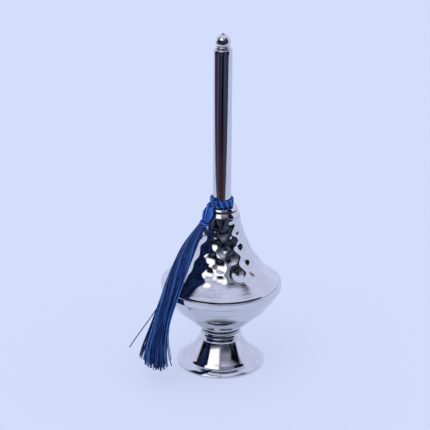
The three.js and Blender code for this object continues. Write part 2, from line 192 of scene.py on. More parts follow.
class BowlSizes(bpy.types.PropertyGroup):
    """Sizes of the spun bowl"""
    base: length("Base", "Radius of the flat base", 14.9)
    low_ledge: length("Low ledge", "Radius of the lower ledge", 31.2)
    low_height: length("Low height", "Height of the lower ledge above the base", 16.2)
    high_ledge: length("High ledge", "Radius of the upper ledge", 37.6)
    high_height: length("High height", "Height of the upper ledge above the base", 24.6)
    ledge: length("Ledge step", "Step of each ledge", 0.5)
    band: length("Band", "Height of the upright band at the brim", 4.6)
    brim_round: length("Brim round", "Rounding of the brim", 0.4)
    lip: length("Lip", "Width of the turned-in lip", 3.4)
    ledge_width: length("Ledge width", "Width of each ledge", 1.3)
    pull_out: number("Pull out", "How full the lower curve is, as a share of its width", 0.55)
    pull_up: number("Pull up", "Height of its fullest part, as a share of its height", 0.5)
    solder: length("Solder", "Width of the solder in the seam", 1.4)


class ShoulderSizes(bpy.types.PropertyGroup):
    """Sizes of the hammered shoulder"""
    inset: length("Inset", "Lower edge, inside the lip's outer edge", 1.3)
    hem_height: length("Hem height", "Height of the steep hem along the lower edge", 1.0)
    hem_lean: length("Hem lean", "How far the hem leans in", 0.3)
    top: length("Top", "Radius of the top", 12.9)
    low_in: length("Lower pull in", "How far the lower curve runs in", 11.4)
    low_up: length("Lower pull up", "How far the lower curve runs up", 8.4)
    high_out: length("Upper pull out", "How far the upper curve runs out", 3.0)
    high_down: length("Upper pull down", "How far the upper curve runs down", 20.8)
    columns: number("Dents round", "Hammer marks in each row", 9)
    rows: number("Rows", "Rows of hammer marks", 10)
    hammer: length("Hammer", "Radius of the hammer's face", 9.5)
    start: number("Start", "Where the first row starts, in dents", -0.25)
    ridge: number("Ridge softness", "How much the ridges are polished down", 12)
    scatter: number("Scatter", "How unevenly the marks lie", 0.36)
    seed: number("Seed", "Chance arrangement of the marks", 3)
    marks_from: length("Marks from", "Height where the marks begin", 65.0)
    marks_full: length("Marks full", "Height where the marks have their full depth", 79.0)
    marks_end: length("Marks end", "Height where the marks end under the mouth", 113.0)
    marks_fade: length("Marks fade", "Height over which the marks fade out under the mouth", 11.0)


class NeckSizes(bpy.types.PropertyGroup):
    """Sizes of the mouth, ferrule, tube, cap, ball and nib"""
    thread: length("Thread", "Root radius of the ferrule's thread", 7.4)
    thread_depth: length("Thread depth", "Depth of the thread", 0.7)
    pitch: length("Pitch", "Pitch of the thread", 1.5)
    turns: number("Turns", "Turns of the thread", 5)
    lead: length("Lead", "Plain end below the thread", 0.8)
    mouth_wall: length("Mouth wall", "Metal behind the mouth's thread", 1.1)
    taper: length("Taper", "Slope above the ferrule's bead", 0.5)
    tube_wall: length("Tube wall", "Wall of the tube", 0.65)
    tube_floor: length("Tube floor", "Metal under the tube", 2.0)
    tube_ledge: length("Tube ledge", "Ledge that the tube stands on", 0.9)
    tube_round: length("Tube round", "Rounding of the tube's end", 1.1)
    tube_hole: length("Tube hole", "Radius of the hole in the tube's end", 4.1)
    plug: length("Plug", "Depth of the cap's plug", 4.5)
    cap_bore: length("Cap bore", "Radius of the cap's bore", 2.2)
    ball: length("Ball", "Radius of the ball", 5.1)
    ball_seat: length("Ball seat", "Radius where the ball is cut flat", 4.2)
    ball_wall: length("Ball wall", "Wall of the ball", 0.7)
    nib: length("Nib", "Radius of the nib", 1.1)
    nib_bore: length("Nib bore", "Radius of the spray hole", 0.45)


class TasselSizes(bpy.types.PropertyGroup):
    """Sizes of the cord and the tassel"""
    cord: length("Cord", "Diameter of the cord", 1.8)
    lay: length("Lay", "Length of one twist of the cord's plies", 3.8)
    thread: length("Thread", "Diameter of one thread", 0.7)
    twist: length("Twist", "Length of one twist of a thread", 1.3)
    threads: number("Threads", "Threads of the skirt", 360)
    locks: number("Locks", "Locks that the ends gather in", 34)
    head_threads: number("Head threads", "Threads over the head", 54)
    seed: number("Seed", "Chance arrangement of the threads", 11)


class Looks(bpy.types.PropertyGroup):
    """Colours of the finishes and the studio"""
    plate: hue("Plate", "Bright nickel plate", "#dcdde2")
    solder: hue("Solder", "Soft solder", "#9a9ca2")
    leather: hue("Leather", "Oiled leather", "#2b1d15")
    silk_dark: hue("Dark silk", "Darkest thread", "#020c2c")
    silk: hue("Silk", "Middle thread", "#083888")
    silk_light: hue("Light silk", "Lightest thread", "#4c8ad8")
    floor: hue("Floor", "Paper on the table", "#dde3fb")
    backdrop: hue("Backdrop", "Paper behind the object", "#d6e0ff")


def sizes():
    """The scene's own settings."""
    return bpy.context.scene.sprinkler


class Settings(bpy.types.PropertyGroup):
    """All sizes and colours of the sprinkler"""
    shared: PointerProperty(type=FrameSizes)
    foot: PointerProperty(type=FootSizes)
    bowl: PointerProperty(type=BowlSizes)
    shoulder: PointerProperty(type=ShoulderSizes)
    neck: PointerProperty(type=NeckSizes)
    tassel: PointerProperty(type=TasselSizes)
    looks: PointerProperty(type=Looks)


# Nodes

def add_node(tree, kind, *inputs, **settings):
    """One node with its settings. Its inputs come in order, or by name or number in a dictionary.
    Each is a value, a socket, or a node whose first live output is used."""
    node = tree.nodes.new(kind)
    for name, value in settings.items():
        setattr(node, name, value)
    given = inputs[0] if inputs and isinstance(inputs[0], dict) else dict(enumerate(inputs))
    for socket, source in given.items():
        if isinstance(source, bpy.types.Node):
            source = next(output for output in source.outputs if output.enabled)
        if isinstance(source, bpy.types.NodeSocket):
            tree.links.new(source, node.inputs[socket])
        else:
            node.inputs[socket].default_value = source
    return node


def new_material(name):
    """An empty node material, and what adds its nodes."""
    material = bpy.data.materials.new(name)
    material.use_nodes = True
    material.node_tree.nodes.clear()
    return material, partial(add_node, material.node_tree)


def plated_brass(name, rings, rings_below=None):
    """Bright nickel plate over spun brass, polished to a mirror. Buffing leaves faint rings round
    the axis, the spun sheet is never quite even over a centimetre or so, and handling leaves soft
    smears of about that size. Below rings_below the polish is coarser and the rings show, and
    above it they are faint. They are drawn far coarser than real ones, so that they show."""
    material, add = new_material(name)
    place = add(COORDINATES).outputs["Object"]
    x, y, z = add(SPLIT, place).outputs
    flat = add(JOIN, x, y)
    radius = add(VECTOR, flat, operation="LENGTH").outputs["Value"]
    section = add(JOIN, radius, 0.0, z)
    spaced = add(VECTOR, section, (1 / RING_SPACING,) * 3, operation="MULTIPLY")
    wander = add(VECTOR, add(VECTOR, section, flat), (1 / RING_WANDER,) * 3, operation="MULTIPLY")
    ring = add(NOISE, {
        "Vector": add(VECTOR, spaced, wander), "Scale": 1.0, "Detail": 3.0, "Roughness": 0.6,
    })
    depth = rings
    if rings_below is not None:
        depth = add(RANGE, {
            "Value": z, "From Min": rings_below - 9 * MM, "From Max": rings_below + 3 * MM,
            "To Min": rings, "To Max": FAINT_RINGS,
        }, interpolation_type="SMOOTHSTEP")
    ring_bump = add(BUMP, {"Strength": depth, "Distance": 0.12 * MM, "Height": ring})
    uneven = add(NOISE, {"Vector": place, "Scale": 1 / (13 * MM), "Detail": 1.5})
    sheet_bump = add(BUMP, {
        "Strength": 0.35, "Distance": 0.12 * MM, "Height": uneven, "Normal": ring_bump,
    })
    smear = add(NOISE, {"Vector": place, "Scale": 1 / (9 * MM), "Detail": 4.0, "Roughness": 0.65})
    rough = add(RANGE, {
        "Value": smear, "From Min": 0.35, "From Max": 0.75, "To Min": 0.035, "To Max": 0.13,
    })
    tint = add(MIX, smear, tuple(sizes().looks.plate), linear("#cecdd1"))
    add(OUTPUT, add(SHADER, {
        "Base Color": tint, "Metallic": 1.0, "Roughness": rough, "Normal": sheet_bump,
    }))
    return material


def soft_solder():
    """Soft solder: dull grey, with the grain that it takes as it sets."""
    material, add = new_material("soft_solder")
    place = add(COORDINATES).outputs["Object"]
    grain = add(NOISE, {"Vector": place, "Scale": 1 / (0.8 * MM), "Detail": 5.0})
    tint = add(MIX, grain, tuple(sizes().looks.solder), linear("#6f7177"))
    bump = add(BUMP, {"Strength": 0.5, "Distance": 0.1 * MM, "Height": grain})
    add(OUTPUT, add(SHADER, {
        "Base Color": tint, "Metallic": 1.0, "Roughness": 0.42, "Normal": bump,
    }))
    return material


def oiled_leather():
    """Oiled leather: nearly black brown with a fine pebbled grain."""
    material, add = new_material("oiled_leather")
    place = add(COORDINATES).outputs["Object"]
    grain = add("ShaderNodeTexVoronoi", {
        "Vector": place, "Scale": 1 / (0.35 * MM)}).outputs["Distance"]
    tint = add(MIX, grain, tuple(sizes().looks.leather), linear("#4a3527"))
    bump = add(BUMP, {"Strength": 0.6, "Distance": 0.05 * MM, "Height": grain})
    add(OUTPUT, add(SHADER, {"Base Color": tint, "Roughness": 0.5, "Normal": bump}))
    return material


def twisted_silk(part, twist):
    """Artificial silk: two bright filaments twisted into a thread, each thread dyed a little
    differently. It shines along its length. Slanting dark lines of painted shade stand for the
    grooves of its twist, and the whole colour is painted lighter by the part's painted light.
    Threads and twist are drawn about twice as coarse as real ones, so that they show."""
    material, add = new_material(f"{part}_silk")
    # Painted light: the part's silk is painted lighter than its dye
    looks, painted_light = sizes().looks, SILK_PAINTED_LIGHT[part]
    dye = add("ShaderNodeAttribute", attribute_name="thread")
    ramp = add("ShaderNodeValToRGB", dye.outputs["Fac"])
    stops = ramp.color_ramp.elements
    stops[0].color = tuple(looks.silk_dark)
    stops[1].color = tuple(looks.silk_light)
    stops.new(0.62).color = tuple(looks.silk)
    lay = add("ShaderNodeAttribute", attribute_name="lay")
    across, up, along = add(SPLIT, lay.outputs["Vector"]).outputs
    phase = add(MATH, along, TURN / twist, operation="MULTIPLY")
    cosine, sine = (add(MATH, phase, operation=wave) for wave in ("COSINE", "SINE"))
    left = add(MATH, across, cosine, operation="MULTIPLY")
    ply = add(MATH, up, sine, left, operation="MULTIPLY_ADD")
    # Painted shade in the grooves of the twist, times the part's painted light
    painted_twist_shade = add(RANGE, {
        "Value": ply, "From Min": -1.0, "From Max": 0.3,
        "To Min": 0.22 * painted_light, "To Max": painted_light,
    })
    base = add(VECTOR, ramp, painted_twist_shade, operation="MULTIPLY")
    bump = add(BUMP, {"Strength": 0.5, "Distance": 0.08 * MM, "Height": ply})
    add(OUTPUT, add(SHADER, {
        "Base Color": base, "Roughness": 0.36, "Specular IOR Level": 0.32, "Normal": bump,
        "Sheen Weight": 0.15, "Sheen Roughness": 0.4, "Sheen Tint": linear("#6fa4ea"),
    }))
    return material


# Outlines of turned pieces are lists of (radius, height), and a third number rounds a corner

def bend(start, pulls, end, steps=CURVE_STEPS):
    """Points of a curve between two outline points, without its ends."""
    points = [Vector(start[:2]), *(Vector(p) for p in pulls), Vector(end[:2])]
    curve = []
    for i in range(1, steps):
        level = points
        while len(level) > 1:
            level = [a.lerp(b, i / steps) for a, b in zip(level, level[1:])]
        curve.append(tuple(level[0]))
    return curve


def bead(edge, out, low, high):
    """Points of a half-round bead, from its lower edge to its upper edge."""
    half = (high - low) / 2
    angles = [math.pi * i / BEAD_STEPS - math.pi / 2 for i in range(BEAD_STEPS + 1)]
    return [(edge + out * math.cos(a), low + half + half * math.sin(a)) for a in angles]


def sloped_bead(low_radius, high_radius, low, high):
    """Points of a bead that leans in as it rises, more and more towards its top."""
    shares = [i / BEAD_STEPS for i in range(BEAD_STEPS + 1)]
    lean = low_radius - high_radius
    leant = [lean * (EVEN_LEAN * s + (1 - EVEN_LEAN) * s * s) for s in shares]
    return [(low_radius - moved, low + (high - low) * s) for moved, s in zip(leant, shares)]


def arc(radius, middle, start, end):
    """Points of an arc about a point on the axis, ends included."""
    angles = [start + (end - start) * i / CURVE_STEPS for i in range(CURVE_STEPS + 1)]
    return [(radius * math.cos(a), middle + radius * math.sin(a)) for a in angles]


def collar(bore, out, low, high, *rounds):
    """Outline of a ring, with a rounding for each corner from the bore's lower end onwards."""
    corners = (bore, low), (out, low), (out, high), (bore, high)
    return [(*corner, round_) for corner, round_ in zip(corners, rounds)]


def inner_side(outline, sheet):
    """The same outline moved in by the sheet's thickness, for a wall that runs upwards."""
    moved = []
    for i, point in enumerate(outline):
        before = Vector(outline[max(i - 1, 0)][:2])
        after = Vector(outline[min(i + 1, len(outline) - 1)][:2])
        along = (after - before).normalized()
        moved.append((point[0] - along.y * sheet, point[1] + along.x * sheet))
    return moved


def eased(corners):
    """The outline with its marked corners rounded."""
    points = []
    for i, corner in enumerate(corners):
        here = Vector(corner[:2])
        if len(corner) == 2:
            points.append(here)
            continue
        back = Vector(corners[i - 1][:2]) - here
        ahead = Vector(corners[(i + 1) % len(corners)][:2]) - here
        trim = min(corner[2], ROUND_SHARE * min(back.length, ahead.length))
        start = here + back.normalized() * trim
        end = here + ahead.normalized() * trim
        points.append(start)
        points += [Vector(p) for p in bend(start, [here], end, ROUND_STEPS)]
        points.append(end)
    return points


def linked(name, data):
    """An object that is in the scene."""
    thing = bpy.data.objects.new(name, data)
    bpy.context.scene.collection.objects.link(thing)
    return thing


def store(mesh, name, values):
    """Keeps a number or a vector for each point of a mesh."""
    values = np.asarray(values, np.float32)
    kind, field = ("FLOAT", "value") if values.ndim == 1 else ("FLOAT_VECTOR", "vector")
    mesh.attributes.new(name, kind, "POINT").data.foreach_set(field, values.ravel())


def new_piece(name, points, faces):
    """A mesh object at the origin, smooth but for its sharp edges."""
    mesh = bpy.data.meshes.new(name)
    mesh.from_pydata(points, [], faces)
    work = bmesh.new()
    work.from_mesh(mesh)
    bmesh.ops.recalc_face_normals(work, faces=work.faces)
    work.to_mesh(mesh)
    work.free()
    mesh.shade_smooth()
    mesh.set_sharp_from_angle(angle=SHARP_ANGLE)
    return linked(name, mesh)


def turned(name, corners, segments):
    """A closed solid turned about +Z, from an outline that closes on itself or on the axis."""
    outline = eased(corners)
    angles = [TURN * i / segments for i in range(segments)]
    points, rows = [], []
    for radius, height in outline:
        if radius < 1e-9:
            rows.append([len(points)])
            points.append((0.0, 0.0, height))
        else:
            rows.append(range(len(points), len(points) + segments))
            points += [(radius * math.cos(a), radius * math.sin(a), height) for a in angles]
    closes = len(rows[0]) > 1
    faces = []
    for low, high in zip(rows, rows[1:] + (rows[:1] if closes else [])):
        for i in range(segments):
            j = (i + 1) % segments
            if len(low) == 1 and len(high) == 1:
                break
            if len(low) == 1:
                faces.append((low[0], high[i], high[j]))
            elif len(high) == 1:
                faces.append((low[i], low[j], high[0]))
            else:
                faces.append((low[i], low[j], high[j], high[i]))
    return new_piece(name, points, faces)


def settle(piece, material, body, slot, *nodes):
    """Gives a piece its finish and its body, and hides the frame pieces that it stands for. Its
    slot is not used. A piece that a node tree made has its finish already."""
    if material is not None:
        piece.data.materials.clear()
        piece.data.materials.append(material)
    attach(piece, body)
    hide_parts(*nodes)
    return piece


def grow(piece, tree, values):
    """Runs a node tree on a piece, with a value for each named input, and keeps the result."""
    modifier = piece.modifiers.new(tree.name, "NODES")
    modifier.node_group = tree
    for item in tree.interface.items_tree:
        if item.item_type == "SOCKET" and item.in_out == "INPUT" and item.name in values:
            modifier[item.identifier] = values[item.name]
    bpy.context.view_layer.update()
    graph = bpy.context.evaluated_depsgraph_get()
    mesh = bpy.data.meshes.new_from_object(
        piece.evaluated_get(graph), preserve_all_data_layers=True, depsgraph=graph)
    piece.modifiers.remove(modifier)
    piece.data = mesh
    return piece


def new_tree(name, inputs):
    """A geometry node tree with a geometry and other named inputs, what adds its nodes, and its
    inputs' sockets."""
    tree = bpy.data.node_groups.new(name, "GeometryNodeTree")
    sockets = tree.interface
    sockets.new_socket("Geometry", in_out="INPUT", socket_type="NodeSocketGeometry")
    for label, default in inputs.items():
        kind = SOCKETS[type(default)]
        sockets.new_socket(label, in_out="INPUT", socket_type=kind).default_value = default
    sockets.new_socket("Geometry", in_out="OUTPUT", socket_type="NodeSocketGeometry")
    add = partial(add_node, tree)
    return tree, add, add("NodeGroupInput").outputs


def end_tree(add, geometry, material):
    """Ends a node tree with a real mesh and its finish."""
    real = add("GeometryNodeRealizeInstances", geometry)
    add("NodeGroupOutput",
        add("GeometryNodeSetMaterial", {"Geometry": real, "Material": material}))


# Foot, stem ring and bowl

class SPRINKLER_OT_foot(bpy.types.Operator):
    """Build the spun foot and the ring on it"""
    bl_idname = "sprinkler.foot"
    bl_label = "Foot"

    def execute(self, context):
        shared, foot = sizes().shared, sizes().foot
        sheet, edge = shared.sheet, shared.edge_round
        radius, top = reach("foot"), span("foot")[1]
        flange_top = foot.edge + foot.flange_rise
        flange_in = radius - foot.flange_width
        start = (flange_in - foot.step_width, flange_top + foot.step_rise)
        throat = (foot.throat, top - foot.throat_drop)
        groove = foot.throat - foot.groove
        groove_height = throat[1] + foot.groove
        bead_edge, bevel_base = groove + foot.bead_reach, groove_height + foot.bead_rise
        arch = (radius - foot.flange_width / 2, foot.edge + foot.flange_rise / 2 + foot.crown)
        flange_end = (flange_in, flange_top)
        rim = (radius, foot.edge)
        flange = [rim, *bend(rim, [arch], flange_end), flange_end]
        hollow = (start[0] - foot.pull, start[1] + foot.pull)
        trumpet = [start, *bend(start, [hollow], throat), throat]
        corners = [
            (0.0, top - sheet),
            (groove - sheet, top - sheet, edge),
            (groove - sheet, groove_height - sheet, edge),
            *reversed(inner_side(trumpet, sheet)),
            *list(reversed(inner_side(flange, sheet)))[:-1],
            (radius - sheet - edge, sheet),
            (radius - foot.hem, sheet, edge),
            (radius - foot.hem, 0.0, edge),
            (radius, 0.0, edge),
            (radius, foot.edge, edge),
            *flange[1:-1],
            (*flange_end, edge),
            (*start, edge),
            *trumpet[1:-1],
            (*throat, edge),
            (foot.throat, throat[1] + sheet, edge),
            (groove, groove_height, edge),
            (bead_edge, bevel_base, edge / 2),
            (bead_edge - foot.bevel_width, bevel_base + foot.bevel),
            (bead_edge - foot.bevel_width - foot.collar_lean, top - edge / 2),
            (groove - sheet, top),
            (0.0, top),
        ]
        plate = plated_brass("spun_nickel_plate", FAINT_RINGS)
        settle(turned("foot_shell", corners, WIDE_SEGMENTS), plate, "vessel", "plate", "foot")
        low, high = span("stem_ring")
        out = reach("stem_ring")
        ring = [
            (foot.stem_bore, low),
            (out - shared.bead_round, low, edge),
            (out, high - edge, edge),
            (foot.stem_bore, high),
        ]
        settle(turned("stem_bead", ring, WIDE_SEGMENTS), plate, "vessel", "plate", "stem_ring")
        return {"FINISHED"}


class SPRINKLER_OT_bowl(bpy.types.Operator):
    """Build the spun bowl and the solder in its seam"""
    bl_idname = "sprinkler.bowl"
    bl_label = "Bowl"

    def execute(self, context):
        shared, bowl = sizes().shared, sizes().bowl
        sheet, edge = shared.sheet, shared.edge_round
        base, top = span("bowl")
        brim, round_ = reach("bowl"), bowl.brim_round
        low, high = base + bowl.low_height, base + bowl.high_height
        low_in, high_in = bowl.low_ledge, bowl.high_ledge
        start = (bowl.base, base + sheet)
        pull = (bowl.base + bowl.pull_out * (low_in - bowl.base),
                base + bowl.pull_up * bowl.low_height)
        outside = [
            (*start, edge),
            *bend(start, [pull], (low_in, low)),
            (low_in, low, edge),
            (low_in + bowl.ledge_width, low + bowl.ledge, edge),
            (high_in, high, edge),
            (high_in + bowl.ledge_width, high + bowl.ledge, edge),
            (brim - bowl.ledge, top - bowl.band, edge),
            (brim, top - bowl.band + round_, 2 * edge),
        ]
        smooth = [outside[0], (low_in, low), (high_in, high), outside[-2], outside[-1]]
        lip = brim - round_ - bowl.lip
        corners = [
            (0.0, base + sheet),
            *inner_side(smooth, sheet),
            (brim - sheet, top - sheet, edge),
            (lip, top - sheet, edge),
            (lip, top, edge),
            (brim, top, round_),
            *reversed(outside),
            (bowl.base - sheet, base),
            (0.0, base),
        ]
        plate = plated_brass("turned_nickel_plate", TURNED_RINGS)
        settle(turned("bowl_shell", corners, WIDE_SEGMENTS), plate, "vessel", "plate", "bowl")
        low, high = span("seam_solder")
        out, width = reach("seam_solder"), bowl.solder
        fillet = collar(out - width, out, low, high, edge, edge, width / 2, width / 2)
        solder = turned("solder_fillet", fillet, WIDE_SEGMENTS)
        settle(solder, soft_solder(), "vessel", "solder", "seam_solder")
        return {"FINISHED"}


# Shoulder

# Squared distance at which a mark's dent ends, over its row's height times its share of the radius
CORNER_SHARE = 2.3
PROFILE_STEPS = 64


def hammering_tree():
    """Node tree that dents a surface inwards round points that lie in staggered rows on the cone.
    Each dent is the face of a round hammer, and the dents meet in narrow rounded ridges."""
    tree, add, slot = new_tree("Hammering", {
        "Low": (0, 0, 0), "Low Pull": (0, 0, 0), "High Pull": (0, 0, 0), "High": (0, 0, 0),
        "Columns": 9, "Rows": 10, "Start": 0.0, "Hammer Radius": 0.02, "Ridge Softness": 4,
        "Scatter": 0.3, "Seed": 3,
    })
    columns, rows = slot["Columns"], slot["Rows"]
    count = add(MATH, columns, rows, operation="MULTIPLY")
    points = add("GeometryNodePoints", count)
    index = add("GeometryNodeInputIndex")
    row = add(MATH, add(MATH, index, columns, operation="DIVIDE"), operation="FLOOR")
    odd = add(MATH, row, 2.0, operation="MODULO")
    shifts = []
    for extra in (0.0, 1.0):
        seed = add(MATH, slot["Seed"], extra)
        chance = add(RANDOM, {2: -0.5, 3: 0.5, "Seed": seed})
        shifts.append(add(MATH, chance, slot["Scatter"], operation="MULTIPLY"))
    staggered = add(MATH, odd, 0.5, index, operation="MULTIPLY_ADD")
    column = add(MATH, add(MATH, staggered, shifts[0]), slot["Start"])
    share = add(MATH, column, columns, operation="DIVIDE")
    angle = add(MATH, share, TURN, operation="MULTIPLY")
    height = add(MATH, add(MATH, row, 0.5), shifts[1])
    factor = add(MATH, height, rows, operation="DIVIDE")
    profile = add("GeometryNodeCurvePrimitiveBezierSegment", {
        "Start": slot["Low"], "Start Handle": slot["Low Pull"],
        "End Handle": slot["High Pull"], "End": slot["High"], "Resolution": PROFILE_STEPS,
    })
    sample = add("GeometryNodeSampleCurve", {"Curves": profile, "Factor": factor}, mode="FACTOR")
    mark = add(ROTATE, {"Vector": sample.outputs["Position"], "Angle": angle},
               rotation_type="Z_AXIS")
    marks = add(MOVE, {"Geometry": points, "Position": mark})
    nearest = add("GeometryNodeProximity", marks, target_element="POINTS")
    distance = nearest.outputs["Distance"]
    place = add("GeometryNodeInputPosition")
    flat = add(VECTOR, place, (1, 1, 0), operation="MULTIPLY")
    radius = add(VECTOR, flat, operation="LENGTH")
    width = add(MATH, radius, columns, operation="DIVIDE")
    step = add(MATH, add("GeometryNodeCurveLength", profile), rows, operation="DIVIDE")
    cell = add(MATH, width, step, operation="MULTIPLY")
    corner = add(MATH, cell, CORNER_SHARE, operation="MULTIPLY")
    off = add(MATH, distance, distance, operation="MULTIPLY")
    inside = add(MATH, corner, off, operation="SUBTRACT")
    sag = add(MATH, inside, 0.0, operation="MAXIMUM")
    hammer = add(MATH, slot["Hammer Radius"], -2.0, operation="MULTIPLY")
    dent = add(MATH, sag, hammer, operation="DIVIDE")
    soft = add("GeometryNodeBlurAttribute", {0: dent, "Iterations": slot["Ridge Softness"]})
    strength = add(STORED, {"Name": "hammered"})
    depth = add(MATH, soft, strength, operation="MULTIPLY")
    normal = add("GeometryNodeInputNormal")
    offset = add(VECTOR, {0: normal, "Scale": depth}, operation="SCALE")
    dented = add(MOVE, {"Geometry": slot["Geometry"], "Offset": offset})
    end_tree(add, dented, plated_brass("hammered_nickel_plate", CONE_RINGS, BUFFED_BELOW))
    return tree


class SPRINKLER_OT_shoulder(bpy.types.Operator):
    """Build the hammered shoulder"""
    bl_idname = "sprinkler.shoulder"
    bl_label = "Shoulder"

    def execute(self, context):
        shared, bowl = sizes().shared, sizes().bowl
        shoulder, neck = sizes().shoulder, sizes().neck
        sheet, edge = shared.sheet, shared.edge_round
        base, top = span("shoulder")
        hem = (reach("bowl") - bowl.brim_round - shoulder.inset, base)
        low = (hem[0] - shoulder.hem_lean, base + shoulder.hem_height)
        high = (shoulder.top, top - sheet)
        low_pull = (low[0] - shoulder.low_in, low[1] + shoulder.low_up)
        high_pull = (high[0] + shoulder.high_out, high[1] - shoulder.high_down)
        outside = [hem, low, *bend(low, [low_pull, high_pull], high, SHOULDER_RINGS), high]
        inside = [point for point in inner_side(outside[1:], sheet) if point[1] > base]
        slope = (inside[1][0] - inside[0][0]) / (inside[1][1] - inside[0][1])
        inside.insert(0, (inside[0][0] - (inside[0][1] - base) * slope, base))
        inside[-1] = (high[0] - sheet, high[1])
        hole = neck.thread + neck.thread_depth + neck.mouth_wall + 2 * shared.slip_gap
        corners = [
            *outside,
            (shoulder.top - edge / 2, top),
            (hole, top, edge / 2),
            (hole, top - sheet, edge / 2),
            *reversed(inside),
        ]
        piece = turned("hammered_shoulder", corners, SHOULDER_SEGMENTS)
        heights = np.array([v.co.z for v in piece.data.vertices])
        ring = np.arange(len(heights)) // SHOULDER_SEGMENTS
        outer = ring < len(outside)
        inner = ring > ring[-1] - len(inside)
        fade_in = (heights - shoulder.marks_from) / (shoulder.marks_full - shoulder.marks_from)
        fade_in = np.clip(fade_in, 0, 1)
        fade_out = np.clip((shoulder.marks_end - heights) / shoulder.marks_fade, 0, 1)
        weight = fade_in * fade_in * (3 - 2 * fade_in) * fade_out * (outer * 1.0 - inner)
        store(piece.data, "hammered", weight)
        grow(piece, hammering_tree(), {
            "Low": (low[0], 0.0, low[1]), "Low Pull": (low_pull[0], 0.0, low_pull[1]),
            "High Pull": (high_pull[0], 0.0, high_pull[1]), "High": (high[0], 0.0, high[1]),
            "Columns": shoulder.columns, "Rows": shoulder.rows, "Start": shoulder.start,
            "Hammer Radius": shoulder.hammer, "Ridge Softness": shoulder.ridge,
            "Scatter": shoulder.scatter, "Seed": shoulder.seed,
        })
        settle(piece, None, "vessel", "plate", "shoulder")
        return {"FINISHED"}


# Mouth and neck

# How far past the ends of a thread its points may lie, in pitches
THREAD_SLACK = 0.1


def cut_thread(piece, wall, base, top, grooved):
    """Cuts a right-hand thread into a straight wall. At its ends a ridged one fades into the wall
    and a grooved one opens to its full depth."""
    neck, gap = sizes().neck, sizes().shared.seat_gap
    for vertex in piece.data.vertices:
        point = vertex.co
        radius = math.hypot(point.x, point.y)
        fade = min(1.0, (point.z - base) / neck.pitch, (top - point.z) / neck.pitch)
        if abs(radius - wall) < gap / 2 and fade > -THREAD_SLACK:
            turn = point.z / neck.pitch - math.atan2(point.y, point.x) / TURN
            ridge = 1 - abs(2 * (turn - math.floor(turn)) - 1)
            strength = max(0.0, fade)
            depth = 1 - (1 - ridge) * strength if grooved else ridge * strength
            scale = 1 + neck.thread_depth * depth / radius
            vertex.co = (point.x * scale, point.y * scale, point.z)
    piece.data.set_sharp_from_angle(angle=SHARP_ANGLE)


def thread_rows(base, top, wall):
    """Outline points that a thread is cut in, from its lower end to its upper end."""
    rows = sizes().neck.turns * THREAD_ROWS_PER_TURN
    return [(wall, base + (top - base) * i / rows) for i in range(rows + 1)]


class SPRINKLER_OT_mouth(bpy.types.Operator):
    """Build the threaded mouth, the washer and the ferrule"""
    bl_idname = "sprinkler.mouth"
    bl_label = "Mouth and ferrule"

    def execute(self, context):
        shared, neck = sizes().shared, sizes().neck
        edge = shared.edge_round
        plate = plated_brass("polished_nickel_plate", POLISHED_RINGS)
        sleeve_end, mouth_top = span("mouth_collar")
        mouth_base = span("shoulder")[1] + shared.seat_gap
        thread_top = mouth_top - neck.pitch / 2
        thread_base = thread_top - neck.turns * neck.pitch
        open_radius = neck.thread + neck.thread_depth + shared.slip_gap
        sleeve = open_radius + neck.mouth_wall
        wall = neck.thread + shared.slip_gap
        bead_edge = reach("mouth_collar") - shared.bead_round
        corners = [
            (open_radius, sleeve_end),
            (sleeve, sleeve_end, edge),
            (sleeve, mouth_base),
            (bead_edge + 4 * edge, mouth_base),
            *sloped_bead(bead_edge + 4 * edge, bead_edge - 2 * edge,
                         mouth_base + 2 * edge, mouth_top - edge / 2),
            (open_radius + shared.slip_gap, mouth_top),
            *reversed(thread_rows(thread_base, thread_top, wall)),
        ]
        mouth = turned("mouth_bead", corners, NECK_SEGMENTS)
        cut_thread(mouth, wall, thread_base, thread_top, True)
        settle(mouth, plate, "vessel", "plate", "mouth_collar")

        low, high = span("neck_washer")
        ring = collar(open_radius, reach("neck_washer"), low, high, edge / 2, edge, edge, edge / 2)
        washer = turned("leather_washer", ring, NECK_SEGMENTS)
        settle(washer, oiled_leather(), "washer", "leather", "neck_washer")

        spigot, top = span("neck_ferrule")
        base = high + shared.seat_gap
        tube_base = spigot + neck.tube_floor
        socket = reach("neck_tube") + shared.seat_gap
        bore = reach("neck_tube") - neck.tube_ledge
        ferrule_edge = reach("neck_ferrule") - shared.bead_round
        corners = [
            (bore, spigot, edge),
            (neck.thread, spigot, neck.lead / 2),
            *thread_rows(thread_base, thread_top, neck.thread),
            (neck.thread, base),
            *sloped_bead(ferrule_edge + 2 * edge, ferrule_edge - edge, base, top - neck.taper),
            (socket + neck.tube_ledge, top, edge),
            (socket, top, edge / 2),
            (socket, tube_base),
            (bore, tube_base),
        ]
        ferrule = turned("ferrule_bead", corners, NECK_SEGMENTS)
        cut_thread(ferrule, neck.thread, thread_base, thread_top, False)
        settle(ferrule, plate, "neck", "plate", "neck_ferrule")
        return {"FINISHED"}


